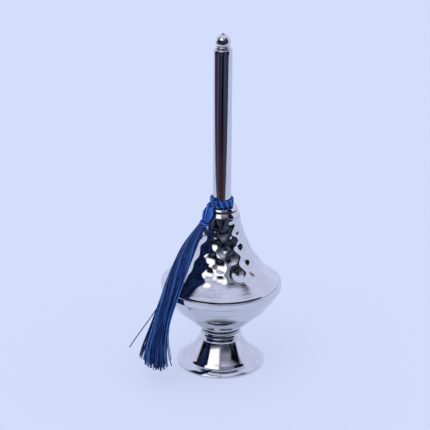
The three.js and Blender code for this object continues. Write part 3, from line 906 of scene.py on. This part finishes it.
class SPRINKLER_OT_neck(bpy.types.Operator):
    """Build the tube, the cap, the ball and the nib"""
    bl_idname = "sprinkler.neck"
    bl_label = "Neck and spout"

    def execute(self, context):
        shared, neck = sizes().shared, sizes().neck
        edge = shared.edge_round
        plate = plated_brass("drawn_nickel_plate", POLISHED_RINGS)
        base, top = span("neck_tube")
        out = reach("neck_tube")
        bore, round_ = out - neck.tube_wall, neck.tube_round
        steps = [(out, base + (top - round_ - base) * i / TUBE_ROWS) for i in range(1, TUBE_ROWS)]
        corners = [
            (out, base, edge / 2),
            *steps,
            (out, top, round_),
            (neck.tube_hole, top, edge / 2),
            (neck.tube_hole, top - neck.tube_wall, edge / 2),
            (bore, top - neck.tube_wall, round_ / 2),
            (bore, base, edge / 2),
        ]
        settle(turned("tube_shell", corners, NECK_SEGMENTS), plate, "neck", "plate", "neck_tube")

        low, top = span("neck_cap")
        base = low + neck.plug
        plug = neck.tube_hole - shared.slip_gap
        cap_edge = reach("neck_cap") - shared.bead_round
        corners = [
            (neck.cap_bore, low, edge / 2),
            (plug, low, edge),
            (plug, base),
            *bead(cap_edge, shared.bead_round, base, top),
            (neck.cap_bore, top, edge),
        ]
        settle(turned("cap_disc", corners, SMALL_SEGMENTS), plate, "neck", "plate", "neck_cap")

        base = span("sprinkler_ball")[0]
        drop = math.sqrt(neck.ball ** 2 - neck.ball_seat ** 2)
        middle = base + drop
        inner, hole = neck.ball - neck.ball_wall, neck.nib + shared.seat_gap
        corners = [
            *arc(neck.ball, middle, -math.asin(drop / neck.ball), math.acos(hole / neck.ball)),
            *arc(inner, middle, math.acos(hole / inner), -math.asin(drop / inner)),
        ]
        ball = turned("spout_ball", corners, SMALL_SEGMENTS)
        settle(ball, plate, "neck", "plate", "sprinkler_ball")

        corners = collar(neck.nib_bore, neck.nib, *span("spray_nib"),
                         edge / 3, edge / 3, 1.5 * edge, edge / 2)
        settle(turned("spout_nib", corners, SMALL_SEGMENTS), plate, "neck", "plate", "spray_nib")
        return {"FINISHED"}


# Lines that the cord and the tassel follow. Azimuths are in degrees

KNOT_AZIMUTH = 231.0
KNOT_RADIUS = 13.0 * MM
KNOT_RISE = 2.5 * MM
CORD_TURNS = 2.85
# The tight turns press into each other a little
WOUND_PITCH = 0.86
# Past the knot: where the winding starts, and the points on the way there. Past the winding's end:
# the points on the way back
WIND_START = 40
WAY_THERE = (9, 17, 28)
WAY_BACK = (9, 13)
WIND_STEPS_PER_TURN = 14

HEAD_LENGTH = 11.0 * MM
HEAD_RADIUS = 3.8 * MM
WAIST_RADIUS = 2.0 * MM
BINDING_LENGTH = 3.0 * MM
# How far the waist stands out from the mouth's bead and hangs below the ferrule
WAIST_OUT = 4.4 * MM
WAIST_DROP = 6.8 * MM
WAIST_AZIMUTH = 224
# How far the skirt's middle stays outside the brim and bows out above and below it, and its end
BRIM_OUT = 2.2 * MM
BRIM_AZIMUTH = 218
CONE_BOW = 1.8 * MM
FALL_BOW = 3.6 * MM
END_OUT = 10.4 * MM
END_HEIGHT = 6.0 * MM


def around(radius, height, azimuth):
    """A point at a radius, a height and an azimuth in degrees."""
    angle = math.radians(azimuth)
    return np.array([radius * math.cos(angle), radius * math.sin(angle), height])


def unit(vectors):
    """A vector, or each row of vectors, at length one."""
    return vectors / np.linalg.norm(vectors, axis=-1, keepdims=True)


def crosswise(along):
    """Two directions across a third one. The first is level."""
    level = unit(np.cross(along, UP))
    return level, np.cross(along, level)


def helix(middle, along, extent, radii, turns, start, steps):
    """Points of a helix, wider one way than the other if its two radii differ. It starts at an
    angle that is given in turns."""
    level, up = crosswise(along)
    share = np.linspace(-0.5, 0.5, steps)[:, None]
    angle = TURN * (turns * share + start)
    return (middle + along * extent * share
            + radii[0] * np.cos(angle) * level + radii[1] * np.sin(angle) * up)


def blend(a, b, start, end, place):
    """Between a at the start and b at the end, or past them."""
    return ((end - place) * a + (place - start) * b) / (end - start)


def smooth_line(points, steps):
    """Points of a smooth line through the given ones, with even steps in each stretch."""
    p = [np.asarray(x, float) for x in points]
    p = [2 * p[0] - p[1], *p, 2 * p[-1] - p[-2]]
    line = []
    for a, b, c, d in zip(p, p[1:], p[2:], p[3:]):
        spans = [max(np.linalg.norm(v - u), 1e-9) ** 0.5 for u, v in ((a, b), (b, c), (c, d))]
        t = np.cumsum([0, *spans])
        for s in np.linspace(t[1], t[2], steps, endpoint=False):
            ab = blend(a, b, t[0], t[1], s)
            bc = blend(b, c, t[1], t[2], s)
            cd = blend(c, d, t[2], t[3], s)
            abc = blend(ab, bc, t[0], t[2], s)
            bcd = blend(bc, cd, t[1], t[3], s)
            line.append(blend(abc, bcd, t[1], t[2], s))
    return np.array([*line, p[-2]])


def measured(line):
    """Distances of a line's points from its start."""
    return np.concatenate([[0.0], np.cumsum(np.linalg.norm(np.diff(line, axis=0), axis=1))])


def at(line, distances):
    """Points of a line at the given distances from its start."""
    run = measured(line)
    return np.stack([np.interp(distances, run, line[:, i]) for i in range(3)], axis=1)


def knot():
    """Point where the cord's ends meet the tassel, and the height of the cord's lowest turn."""
    wind = span("neck_ferrule")[1] + sizes().shared.seat_gap + sizes().tassel.cord / 2
    return around(KNOT_RADIUS, wind + KNOT_RISE, KNOT_AZIMUTH), wind


def cord_line():
    """From the knot round the tube and back to the knot, beside its first leg."""
    cord, gap = sizes().tassel.cord, sizes().shared.seat_gap
    (_, _, height), wind = knot()
    radius = reach("neck_tube") + gap + cord / 2
    passing = radius + cord + 2 * gap
    shift = math.degrees((cord + gap) / 2 / KNOT_RADIUS)
    start = KNOT_AZIMUTH + WIND_START
    end = start + CORD_TURNS * 360
    top = wind + CORD_TURNS * WOUND_PITCH * cord
    winding = [around(radius, wind + (top - wind) * share, start + (end - start) * share)
               for share in np.linspace(0, 1, math.ceil(CORD_TURNS * WIND_STEPS_PER_TURN) + 1)]
    leaving, crossing, joining = (KNOT_AZIMUTH + extra for extra in WAY_THERE)
    parting, returning = (end + extra for extra in WAY_BACK)
    return smooth_line([
        around(KNOT_RADIUS, height, KNOT_AZIMUTH + shift),
        around((KNOT_RADIUS + passing) / 2, height - KNOT_RISE / 2, leaving),
        around(passing, wind + 2 * gap, crossing),
        around((passing + radius) / 2, wind, joining),
        *winding,
        around((radius + passing) / 2, top, parting),
        around((passing + KNOT_RADIUS) / 2 - gap, top - cord / 4, returning),
        around(KNOT_RADIUS - cord / 2, height + cord / 2, KNOT_AZIMUTH - shift),
        around(KNOT_RADIUS, height, KNOT_AZIMUTH - shift),
    ], CORD_SMOOTHING)


def tassel_line():
    """Line down the middle of the tassel: from the knot past the mouth's bead, along the shoulder,
    over the brim and down beside the bowl."""
    shared = sizes().shared
    slip = shared.slip_gap
    (_, _, height), _ = knot()
    bead_radius = max(reach("neck_ferrule"), reach("mouth_collar"))
    top = height - sizes().tassel.cord / 2 - slip
    ferrule_base = span("neck_washer")[1] + shared.seat_gap
    waist = (max(reach("mouth_collar"), sizes().shoulder.top) + WAIST_OUT,
             ferrule_base - WAIST_DROP)
    brim = (reach("bowl") + 2 * slip + BRIM_OUT, span("bowl")[1] - sizes().bowl.brim_round)
    end = (brim[0] + END_OUT, END_HEIGHT)

    def between(a, b, share, bow, azimuth):
        return around(a[0] + (b[0] - a[0]) * share + bow, a[1] + (b[1] - a[1]) * share, azimuth)

    return smooth_line([
        around(KNOT_RADIUS + slip, top, KNOT_AZIMUTH),
        around(bead_radius + slip + HEAD_RADIUS, (top + waist[1]) / 2, KNOT_AZIMUTH),
        around(*waist, WAIST_AZIMUTH),
        between(waist, brim, 1 / 3, CONE_BOW, BRIM_AZIMUTH),
        between(waist, brim, 2 / 3, CONE_BOW, BRIM_AZIMUTH),
        around(*brim, BRIM_AZIMUTH),
        between(brim, end, 1 / 3, FALL_BOW, BRIM_AZIMUTH - 1),
        between(brim, end, 2 / 3, FALL_BOW, BRIM_AZIMUTH - 2),
        around(*end, BRIM_AZIMUTH - 3),
    ], TASSEL_SMOOTHING)


# Thread work

CORD_TWIST = 1.1 * MM
CORD_STEP = 0.45 * MM
# Distance of three touching plies from the cord's middle, in their own radii
PLY_SPREAD = 2 / math.sqrt(3)
# The plies press into each other a little
PLY_PRESS = 1.06
PLY_SIDES = 10

# The knot is wider than deep. Its sizes are in thicknesses of the cord, its start in turns
KNOT_TURNS = 1.4
KNOT_START = -0.25
KNOT_RADII = (0.897, 0.702)
KNOT_STEPS = 30
# Point of the tassel's line that the knot's axis runs to
KNOT_AIM = 6

THREAD_SIDES = 6
# How late the threads gather in locks, how many waves they wander in, and what keeps two
# threads from wandering alike
GATHER_LATE = 1.6
WANDER_WAVES = 3.2
WANDER_APART = 7.31

# The head's radius in millimetres, at shares of its length
HEAD_SHAPE = ((0, 0.84), (0.05, 2.1), (0.15, 2.94), (0.42, 3.8), (0.8, 2.9), (1, 2.0))
HEAD_STEPS = 36
# The threads over the head lie in this many layers
HEAD_LAYERS = 3
# The binding: threads side by side, turns of each, and their radius
BINDING_THREADS = 3
BINDING_TURNS = 5 / 3
BINDING_THREAD = 0.3 * MM
BINDING_STEPS = 41
BINDING_SIDES = 8

# The skirt's width and thickness in millimetres, at shares of its length
SKIRT_SHAPE = (
    (0, 6.2, 4.4), (0.2, 15.1, 5.0), (0.4, 18.4, 5.0), (0.55, 18.4, 4.6), (0.75, 21.5, 8.0),
    (1, 34.0, 20.0),
)
SKIRT_STEPS = 30
# How far above the end of its middle line the skirt ends
SKIRT_SHORT = 6.5 * MM
# What is added to the tassel's seed for the skirt
SKIRT_SEED = 40

# The thread that stands away from the skirt: where it leaves, its places beside the middle line,
# and how late it bends away
STRAY_FROM = 0.56
STRAY_START = np.array((-5.5, 2.0, -1.0)) * MM
STRAY_END = np.array((-17.8, 1.0, 12.0)) * MM
STRAY_LATE = 1.3
STRAY_POINTS = 14


def frames(line):
    """Two directions across a line at each point, carried along it without twist."""
    tangents = unit(np.gradient(line, axis=0))
    side = np.cross(tangents[0], UP)
    first = []
    for tangent in tangents:
        side = unit(side - tangent * (side @ tangent))
        first.append(side)
    first = np.array(first)
    return first, np.cross(tangents, first)


def swept(name, lines, radius, sides):
    """Round threads along several lines as one piece, with the attributes that show their
    twist."""
    points, faces, lay, dye = [], [], [], []
    angles = TURN * np.arange(sides) / sides
    cosines, sines = np.cos(angles)[:, None], np.sin(angles)[:, None]
    for n, line in enumerate(lines):
        across, up = frames(line)
        run = measured(line)
        start = len(points)
        last = start + (len(line) - 1) * sides
        for i, middle in enumerate(line):
            ring = middle + radius * (cosines * across[i] + sines * up[i])
            points += [tuple(p) for p in ring]
            lay += [(math.cos(2 * a), math.sin(2 * a), run[i]) for a in angles]
        dye += [(n + 0.5) / len(lines)] * sides * len(line)
        for a in range(start, last, sides):
            for j in range(sides):
                k = (j + 1) % sides
                faces.append((a + j, a + k, a + sides + k, a + sides + j))
        faces.append(tuple(range(start + sides - 1, start - 1, -1)))
        faces.append(tuple(range(last, last + sides)))
    piece = new_piece(name, points, faces)
    store(piece.data, "lay", lay)
    store(piece.data, "thread", dye)
    return piece


def laid_cord(name, line):
    """Three plies twisted together along a line, and the line in fine steps."""
    tassel = sizes().tassel
    run = measured(line)[-1]
    fine = at(line, np.linspace(0, run, int(run / CORD_STEP)))
    across, up = frames(fine)
    phase = TURN * measured(fine) / tassel.lay
    ply = tassel.cord / 2 / (1 + PLY_SPREAD)
    plies = []
    for k in range(3):
        turn = (phase + TURN * k / 3)[:, None]
        plies.append(fine + PLY_SPREAD * ply * (np.cos(turn) * across + np.sin(turn) * up))
    return swept(name, plies, PLY_PRESS * ply, PLY_SIDES), fine


class SPRINKLER_OT_cord(bpy.types.Operator):
    """Wind the three-ply cord round the neck and tie the knot"""
    bl_idname = "sprinkler.cord"
    bl_label = "Cord"

    def execute(self, context):
        tassel = sizes().tassel
        silk = twisted_silk("cord", CORD_TWIST)
        cord, line = laid_cord("silk_cord", cord_line())
        settle(cord, silk, "loop", "silk", "loop_cord")
        middle = knot()[0]
        down = unit(tassel_line()[KNOT_AIM] - middle)
        radii = [share * tassel.cord for share in KNOT_RADII]
        wrap = helix(middle, down, KNOT_TURNS * tassel.cord, radii,
                     KNOT_TURNS, KNOT_START, KNOT_STEPS)
        wrapped, _ = laid_cord("silk_knot", wrap)
        settle(wrapped, silk, "tassel", "silk")
        return {"FINISHED"}


def threads_tree(name, material):
    """Node tree that lays threads along a guide line. The guide holds the directions across and
    out and half the bundle's width and thickness. Threads twist round the bundle, wander a little,
    gather in locks towards the end and stop at uneven lengths."""
    tree, add, slot = new_tree(name, {
        "Count": 100, "Thread Radius": 0.0003, "Hollow": 0.0, "Bundle Twist": 0.3, "Wander": 0.2,
        "Locks": 20, "Gather": 0.5, "Uneven": 0.1, "Seed": 1,
    })
    seeds = [add(MATH, slot["Seed"], float(extra)) for extra in range(6)]
    guide_line = add("GeometryNodeMeshToCurve", slot["Geometry"])
    copies = add("GeometryNodeDuplicateElements", {
        "Geometry": guide_line, "Amount": slot["Count"],
    }, domain="SPLINE")
    own = copies.outputs["Duplicate Index"]
    lock = add(RANDOM, {4: 0, 5: slot["Locks"], "ID": own, "Seed": seeds[0]}, data_type="INT")
    places = []
    for who, seed, next_seed in ((own, seeds[1], seeds[2]), (lock, seeds[2], seeds[3])):
        square = add(RANDOM, {2: slot["Hollow"], 3: 1.0, "ID": who, "Seed": seed})
        angle = add(RANDOM, {2: 0.0, 3: TURN, "ID": who, "Seed": next_seed})
        arm = add(JOIN, add(MATH, square, operation="SQRT"))
        places.append(add(ROTATE, {"Vector": arm, "Angle": angle}, rotation_type="Z_AXIS"))
    share = add("GeometryNodeSplineParameter").outputs["Factor"]
    late = add(MATH, share, GATHER_LATE, operation="POWER")
    pull = add(MATH, late, slot["Gather"], operation="MULTIPLY")
    gathered = add("ShaderNodeMix", {"Factor": pull, 4: places[0], 5: places[1]},
                   data_type="VECTOR")
    twist = add(MATH, slot["Bundle Twist"], TURN, operation="MULTIPLY")
    twisted = add(ROTATE, {
        "Vector": gathered, "Angle": add(MATH, share, twist, operation="MULTIPLY"),
    }, rotation_type="Z_AXIS")
    waves = add(MATH, share, WANDER_WAVES, operation="MULTIPLY")
    apart = add(MATH, own, WANDER_APART, operation="MULTIPLY")
    drift = add(NOISE, {
        "Vector": add(JOIN, waves, apart, slot["Seed"]), "Scale": 1.0, "Detail": 1.0,
    })
    centred = add(VECTOR, drift.outputs["Color"], (0.5, 0.5, 0.5), operation="SUBTRACT")
    sway = add(VECTOR, {
        0: centred, "Scale": add(MATH, share, slot["Wander"], operation="MULTIPLY"),
    }, operation="SCALE")
    parts = add(SPLIT, add(VECTOR, twisted, sway))
    shifts = []
    for part, way, size in ((0, "across", "half_width"), (1, "out", "half_thick")):
        direction = add(STORED, {"Name": way}, data_type="FLOAT_VECTOR")
        half = add(STORED, {"Name": size})
        room = add(MATH, half, slot["Thread Radius"], operation="SUBTRACT")
        far = add(MATH, parts.outputs[part], room, operation="MULTIPLY")
        shifts.append(add(VECTOR, {0: direction, "Scale": far}, operation="SCALE"))
    spread = add(MOVE, {"Geometry": copies, "Offset": add(VECTOR, *shifts)})
    tone = add(RANDOM, {2: 0.0, 3: 1.0, "ID": own, "Seed": seeds[4]})
    dyed = add(STORE, {"Geometry": spread, "Name": "thread", "Value": tone}, domain="CURVE")
    cut = add(RANDOM, {2: 0.0, 3: 1.0, "ID": own, "Seed": seeds[5]})
    squared = add(MATH, cut, cut, operation="MULTIPLY")
    shortened = add(MATH, squared, slot["Uneven"], operation="MULTIPLY")
    trimmed = add("GeometryNodeTrimCurve", {
        "Curve": dyed, "End": add(MATH, 1.0, shortened, operation="SUBTRACT"),
    }, mode="FACTOR")
    run = add("GeometryNodeSplineParameter").outputs["Length"]
    line = add(STORE, {"Geometry": trimmed, "Name": "run", "Value": run})
    ring = add("GeometryNodeCurvePrimitiveCircle", {
        "Resolution": THREAD_SIDES, "Radius": slot["Thread Radius"],
    }, mode="RADIUS")
    doubled = add(MATH, add("GeometryNodeSplineParameter"), 2 * TURN, operation="MULTIPLY")
    for label, wave in (("lay_x", "COSINE"), ("lay_y", "SINE")):
        ring = add(STORE, {
            "Geometry": ring, "Name": label, "Value": add(MATH, doubled, operation=wave),
        })
    tubes = add("GeometryNodeCurveToMesh", {
        "Curve": line, "Profile Curve": ring, "Fill Caps": True,
    })
    lay = add(JOIN, *(add(STORED, {"Name": label}) for label in ("lay_x", "lay_y", "run")))
    laid = add(STORE, {"Geometry": tubes, "Name": "lay", "Value": lay}, data_type="FLOAT_VECTOR")
    end_tree(add, laid, material)
    return tree


def guide(name, line, start, end, shape, steps):
    """A bare line from start to end along another, with half its width and thickness at each
    point. The shape is a list of (share, width, thickness)."""
    points = at(line, np.linspace(start, end, steps))
    tangents = unit(np.gradient(points, axis=0))
    across = np.stack([-points[:, 1], points[:, 0], np.zeros(len(points))], axis=1)
    across = unit(across - tangents * np.sum(across * tangents, axis=1)[:, None])
    smooth = smooth_line(shape, SHAPE_SMOOTHING)
    widths, thicknesses = (np.interp(np.linspace(0, 1, steps), smooth[:, 0], smooth[:, column])
                           for column in (1, 2))
    mesh = bpy.data.meshes.new(name)
    mesh.from_pydata([tuple(p) for p in points], [(i, i + 1) for i in range(steps - 1)], [])
    store(mesh, "across", across)
    store(mesh, "out", np.cross(across, tangents))
    store(mesh, "half_width", widths / 2)
    store(mesh, "half_thick", thicknesses / 2)
    return linked(name, mesh)


class SPRINKLER_OT_tassel_head(bpy.types.Operator):
    """Build the tassel's head of folded threads and the binding round its waist"""
    bl_idname = "sprinkler.tassel_head"
    bl_label = "Tassel head"

    def execute(self, context):
        tassel = sizes().tassel
        line = tassel_line()
        whole = HEAD_LENGTH + BINDING_LENGTH
        shape = [(share * HEAD_LENGTH / whole, 2 * radius * MM, 2 * radius * MM)
                 for share, radius in HEAD_SHAPE]
        shape.append((1, 2 * WAIST_RADIUS, 2 * WAIST_RADIUS))
        head = guide("silk_head", line, 0, whole, shape, HEAD_STEPS)
        grow(head, threads_tree("Head Threads", twisted_silk("head", tassel.twist)), {
            "Count": tassel.head_threads * HEAD_LAYERS, "Thread Radius": tassel.thread / 2,
            "Hollow": 0.72, "Bundle Twist": 0.1, "Wander": 0.1, "Locks": 1, "Gather": 0.0,
            "Uneven": 0.0, "Seed": tassel.seed,
        })
        settle(head, None, "tassel", "silk", "tassel_head")
        upper, lower = at(line, HEAD_LENGTH + BINDING_LENGTH / 2 + np.array((-0.5, 0.5)) * MM)
        radius = WAIST_RADIUS + sizes().shared.slip_gap + BINDING_THREAD
        helices = [helix((upper + lower) / 2, unit(lower - upper),
                         BINDING_LENGTH - 2 * BINDING_THREAD, (radius, radius),
                         BINDING_TURNS, k / BINDING_THREADS, BINDING_STEPS)
                   for k in range(BINDING_THREADS)]
        binding = swept("silk_binding", helices, BINDING_THREAD, BINDING_SIDES)
        settle(binding, twisted_silk("binding", tassel.twist), "tassel", "silk", "tassel_binding")
        return {"FINISHED"}


class SPRINKLER_OT_tassel_skirt(bpy.types.Operator):
    """Hang the tassel's threads"""
    bl_idname = "sprinkler.tassel_skirt"
    bl_label = "Tassel skirt"

    def execute(self, context):
        tassel = sizes().tassel
        line = tassel_line()
        start = HEAD_LENGTH + BINDING_LENGTH + sizes().shared.slip_gap
        end = measured(line)[-1] - SKIRT_SHORT
        shape = [(share, width * MM, thick * MM) for share, width, thick in SKIRT_SHAPE]
        silk = twisted_silk("skirt", tassel.twist)
        skirt = guide("silk_skirt", line, start, end, shape, SKIRT_STEPS)
        grow(skirt, threads_tree("Skirt Threads", silk), {
            "Count": tassel.threads, "Thread Radius": tassel.thread / 2, "Hollow": 0.0,
            "Bundle Twist": 0.3, "Wander": 0.5, "Locks": tassel.locks, "Gather": 0.75,
            "Uneven": 0.11, "Seed": tassel.seed + SKIRT_SEED,
        })
        settle(skirt, None, "tassel", "silk", "tassel_skirt")
        run = np.linspace(STRAY_FROM, 1, STRAY_POINTS)
        middle = at(line, start + run * (end - start))
        away = ((run - STRAY_FROM) / (1 - STRAY_FROM))[:, None]
        stray = middle + STRAY_START * (1 - away) + STRAY_END * away ** STRAY_LATE
        stray = smooth_line(stray, STRAY_SMOOTHING)
        thread = swept("stray_thread", [stray], tassel.thread / 2, THREAD_SIDES)
        settle(thread, silk, "tassel", "silk")
        return {"FINISHED"}


# Studio

CAMERA_ELEVATION = 21.84
CAMERA_ROLL = 0.38
CAMERA_DISTANCE = 1100 * MM
CAMERA_LENS = 133.5
CAMERA_SENSOR = 36.0
CAMERA_TARGET = (-4.68 * MM, 0.0, 110.9 * MM)

# A weak lamp, high at the left of the camera. Its place only gives the direction of its light
LAMP_PLACE = (-0.55, -0.6, 1.0)
LAMP_STRENGTH = 0.3
LAMP_SPREAD = math.radians(40)

# The room that the plate mirrors. Each patch has azimuths from the camera's side to the right and
# elevations, a soft edge, all in degrees, a colour and a strength
ROOM = [
    ("open_front", (-114, 84), (-90, -14), 5, "#090a14", 1.0),
    ("dark_front", (-92, 72), (-24, 30), 7, "#090a14", 1.0),
    ("purple_left", (-118, -46), (-32, -6), 5, "#3f2a42", 1.0),
    ("blue_right", (20, 80), (-32, -6), 5, "#3a3f55", 1.0),
    ("warm_low", (-40, 22), (-32, -19.6), 1.5, "#47282e", 1.0),
    ("grey_wall", (-6, 46), (14, 44), 5, "#4a4a57", 1.0),
    ("upper_wall", (-6, 88), (38, 58), 7, "#8d8d9c", 1.0),
    ("right_flag", (47, 82), (-14, 50), 4, "#07070d", 1.0),
    ("left_flag", (-100, -73), (-14, 56), 4, "#0a0a14", 1.0),
    ("glow", (-74, 2), (22, 68), 6, "#8f93a2", 1.0),
    ("soft_box", (-64, -7), (29, 61), 4, "#ffffff", 1.5),
]

FLOOR_HALF = 6.0
# The paper's front edge, which the plate mirrors, how softly it ends, its left corner, and how it
# runs back from there
FLOOR_FRONT = -240 * MM
FLOOR_EDGE = 12 * MM
FLOOR_CORNER = 210 * MM
FLOOR_SLANT = 1.32
# Share of the backdrop's own light in what the camera and the plate see of the paper
FLOOR_LIFT = 0.65


def room_colour(add):
    """Colour of the surroundings in each direction, for what mirrors them."""
    direction = add(COORDINATES).outputs["Generated"]
    right, back, high = add(SPLIT, direction).outputs
    forward = add(MATH, back, -1.0, operation="MULTIPLY")
    turn = add(MATH, right, forward, operation="ARCTAN2")
    azimuth = add(MATH, turn, operation="DEGREES")
    rise = add(MATH, high, operation="ARCSINE")
    elevation = add(MATH, rise, operation="DEGREES")
    colour = add("ShaderNodeRGB")
    colour.outputs[0].default_value = linear("#dde2fe")
    for name, azimuths, elevations, soft, code, strength in ROOM:
        inside = None
        for value, limits in ((azimuth, azimuths), (elevation, elevations)):
            for limit, (before, after) in zip(limits, ((0.0, 1.0), (1.0, 0.0))):
                edge = add(RANGE, {
                    "Value": value, "From Min": limit - soft, "From Max": limit + soft,
                    "To Min": before, "To Max": after,
                }, interpolation_type="SMOOTHSTEP", label=name)
                inside = (edge if inside is None
                          else add(MATH, inside, edge, operation="MULTIPLY"))
        paint = tuple(c * strength for c in linear(code)[:3]) + (1.0,)
        colour = add(MIX, inside, colour, paint)
    clutter = add(NOISE, {"Vector": direction, "Scale": 3.5, "Detail": 3.0})
    shown = add(RANGE, {"Value": clutter, "From Min": 0.45, "From Max": 0.75})
    return add(MIX, shown, colour, linear("#4d566e"), blend_type="ADD")


class SPRINKLER_OT_stage(bpy.types.Operator):
    """Set up the camera, the paper floor, the lamp and the room"""
    bl_idname = "sprinkler.stage"
    bl_label = "Stage"

    def execute(self, context):
        self.camera()
        self.floor()
        self.lamp()
        self.room()
        context.scene.view_settings.view_transform = "Standard"
        return {"FINISHED"}

    def camera(self):
        data = bpy.data.cameras.new("camera")
        data.lens, data.sensor_width = CAMERA_LENS, CAMERA_SENSOR
        camera = linked("camera", data)
        camera.matrix_world = (Matrix.Translation(CAMERA_TARGET)
                               @ Matrix.Rotation(math.radians(90 - CAMERA_ELEVATION), 4, "X")
                               @ Matrix.Rotation(math.radians(CAMERA_ROLL), 4, "Z")
                               @ Matrix.Translation((0, 0, CAMERA_DISTANCE)))
        bpy.context.scene.camera = camera

    def floor(self):
        mesh = bpy.data.meshes.new("paper_floor")
        corners = [(x * FLOOR_HALF, y * FLOOR_HALF, 0)
                   for x, y in ((-1, -1), (1, -1), (1, 1), (-1, 1))]
        mesh.from_pydata(corners, [], [(0, 1, 2, 3)])
        material, add = new_material("matt_paper")
        mesh.materials.append(material)
        linked("paper_floor", mesh)
        place = add(COORDINATES).outputs["Object"]
        grain = add(NOISE, {"Vector": place, "Scale": 1 / (1.5 * MM), "Detail": 4.0})
        bump = add(BUMP, {"Strength": 0.05, "Distance": 0.02 * MM, "Height": grain})
        paper = add("ShaderNodeBsdfDiffuse", {"Color": tuple(sizes().looks.floor), "Normal": bump})
        glow = add("ShaderNodeEmission", tuple(sizes().looks.backdrop))
        seen_by = add("ShaderNodeLightPath").outputs
        glossy = seen_by["Is Glossy Ray"]
        seen = add(MATH, seen_by["Is Camera Ray"], glossy)
        seen = add(MATH, seen, seen_by["Is Transmission Ray"], use_clamp=True)
        lifted = add(MATH, seen, FLOOR_LIFT, operation="MULTIPLY")
        pale = add("ShaderNodeMixShader", lifted, paper, glow)
        right, back, _ = add(SPLIT, place).outputs
        past = add(MATH, right, FLOOR_CORNER)
        slanted = add(MATH, past, FLOOR_SLANT, back, operation="MULTIPLY_ADD")
        nearest = add(MATH, slanted, back, operation="MINIMUM")
        beyond = add(RANGE, {
            "Value": nearest, "From Min": FLOOR_FRONT - FLOOR_EDGE, "From Max": FLOOR_FRONT,
            "To Min": 1.0, "To Max": 0.0,
        })
        gone = add(MATH, beyond, glossy, operation="MULTIPLY")
        clear = add("ShaderNodeBsdfTransparent")
        add(OUTPUT, add("ShaderNodeMixShader", gone, pale, clear))

    def lamp(self):
        data = bpy.data.lights.new("soft_lamp", "SUN")
        data.energy, data.angle = LAMP_STRENGTH, LAMP_SPREAD
        lamp = linked("soft_lamp", data)
        place = Vector(LAMP_PLACE)
        turn = (-place).to_track_quat("-Z", "Y").to_matrix().to_4x4()
        lamp.matrix_world = Matrix.Translation(place) @ turn
        lamp.visible_glossy = False

    def room(self):
        world = bpy.data.worlds.new("paper_room")
        bpy.context.scene.world = world
        world.use_nodes = True
        world.node_tree.nodes.clear()
        add = partial(add_node, world.node_tree)
        seen_by = add("ShaderNodeLightPath").outputs
        seen = add(MIX, seen_by["Is Camera Ray"], linear("#e5e9f2"), tuple(sizes().looks.backdrop))
        mirrored = add(MATH, seen_by["Is Glossy Ray"], seen_by["Is Transmission Ray"],
                       operation="MAXIMUM")
        colour = add(MIX, mirrored, seen, room_colour(add))
        light = add("ShaderNodeBackground", {"Color": colour, "Strength": 1.0})
        add("ShaderNodeOutputWorld", light)


class SPRINKLER_PT_panel(bpy.types.Panel):
    """Lists the steps that build the sprinkler, and its sizes and colours"""
    bl_idname = "SPRINKLER_PT_panel"
    bl_label = "Rosewater Sprinkler"
    bl_space_type = "VIEW_3D"
    bl_region_type = "UI"
    bl_category = "Sprinkler"

    def draw(self, context):
        for step in STEPS:
            self.layout.operator(step.bl_idname)
        for title in Settings.__annotations__:
            group = getattr(context.scene.sprinkler, title)
            for name in group.__annotations__:
                self.layout.prop(group, name)


GROUPS = (FrameSizes, FootSizes, BowlSizes, ShoulderSizes, NeckSizes, TasselSizes, Looks, Settings)
STEPS = (
    SPRINKLER_OT_stage,
    SPRINKLER_OT_tassel_head,
    SPRINKLER_OT_cord,
    SPRINKLER_OT_tassel_skirt,
    SPRINKLER_OT_foot,
    SPRINKLER_OT_bowl,
    SPRINKLER_OT_shoulder,
    SPRINKLER_OT_mouth,
    SPRINKLER_OT_neck,
)


def register():
    """Registers the settings, the steps and the panel."""
    for item in (*GROUPS, *STEPS, SPRINKLER_PT_panel):
        bpy.utils.register_class(item)
    bpy.types.Scene.sprinkler = PointerProperty(type=Settings)


def unregister():
    """Takes them away again."""
    del bpy.types.Scene.sprinkler
    for item in reversed((*GROUPS, *STEPS, SPRINKLER_PT_panel)):
        bpy.utils.unregister_class(item)


def main():
    """Builds the sprinkler."""
    register()
    bpy.ops.sprinkler.stage()
    bpy.ops.sprinkler.tassel_head()
    bpy.ops.sprinkler.cord()
    bpy.ops.sprinkler.tassel_skirt()
    bpy.ops.sprinkler.foot()
    bpy.ops.sprinkler.bowl()
    bpy.ops.sprinkler.shoulder()
    bpy.ops.sprinkler.mouth()
    bpy.ops.sprinkler.neck()


if __name__ == "__main__":
    main()
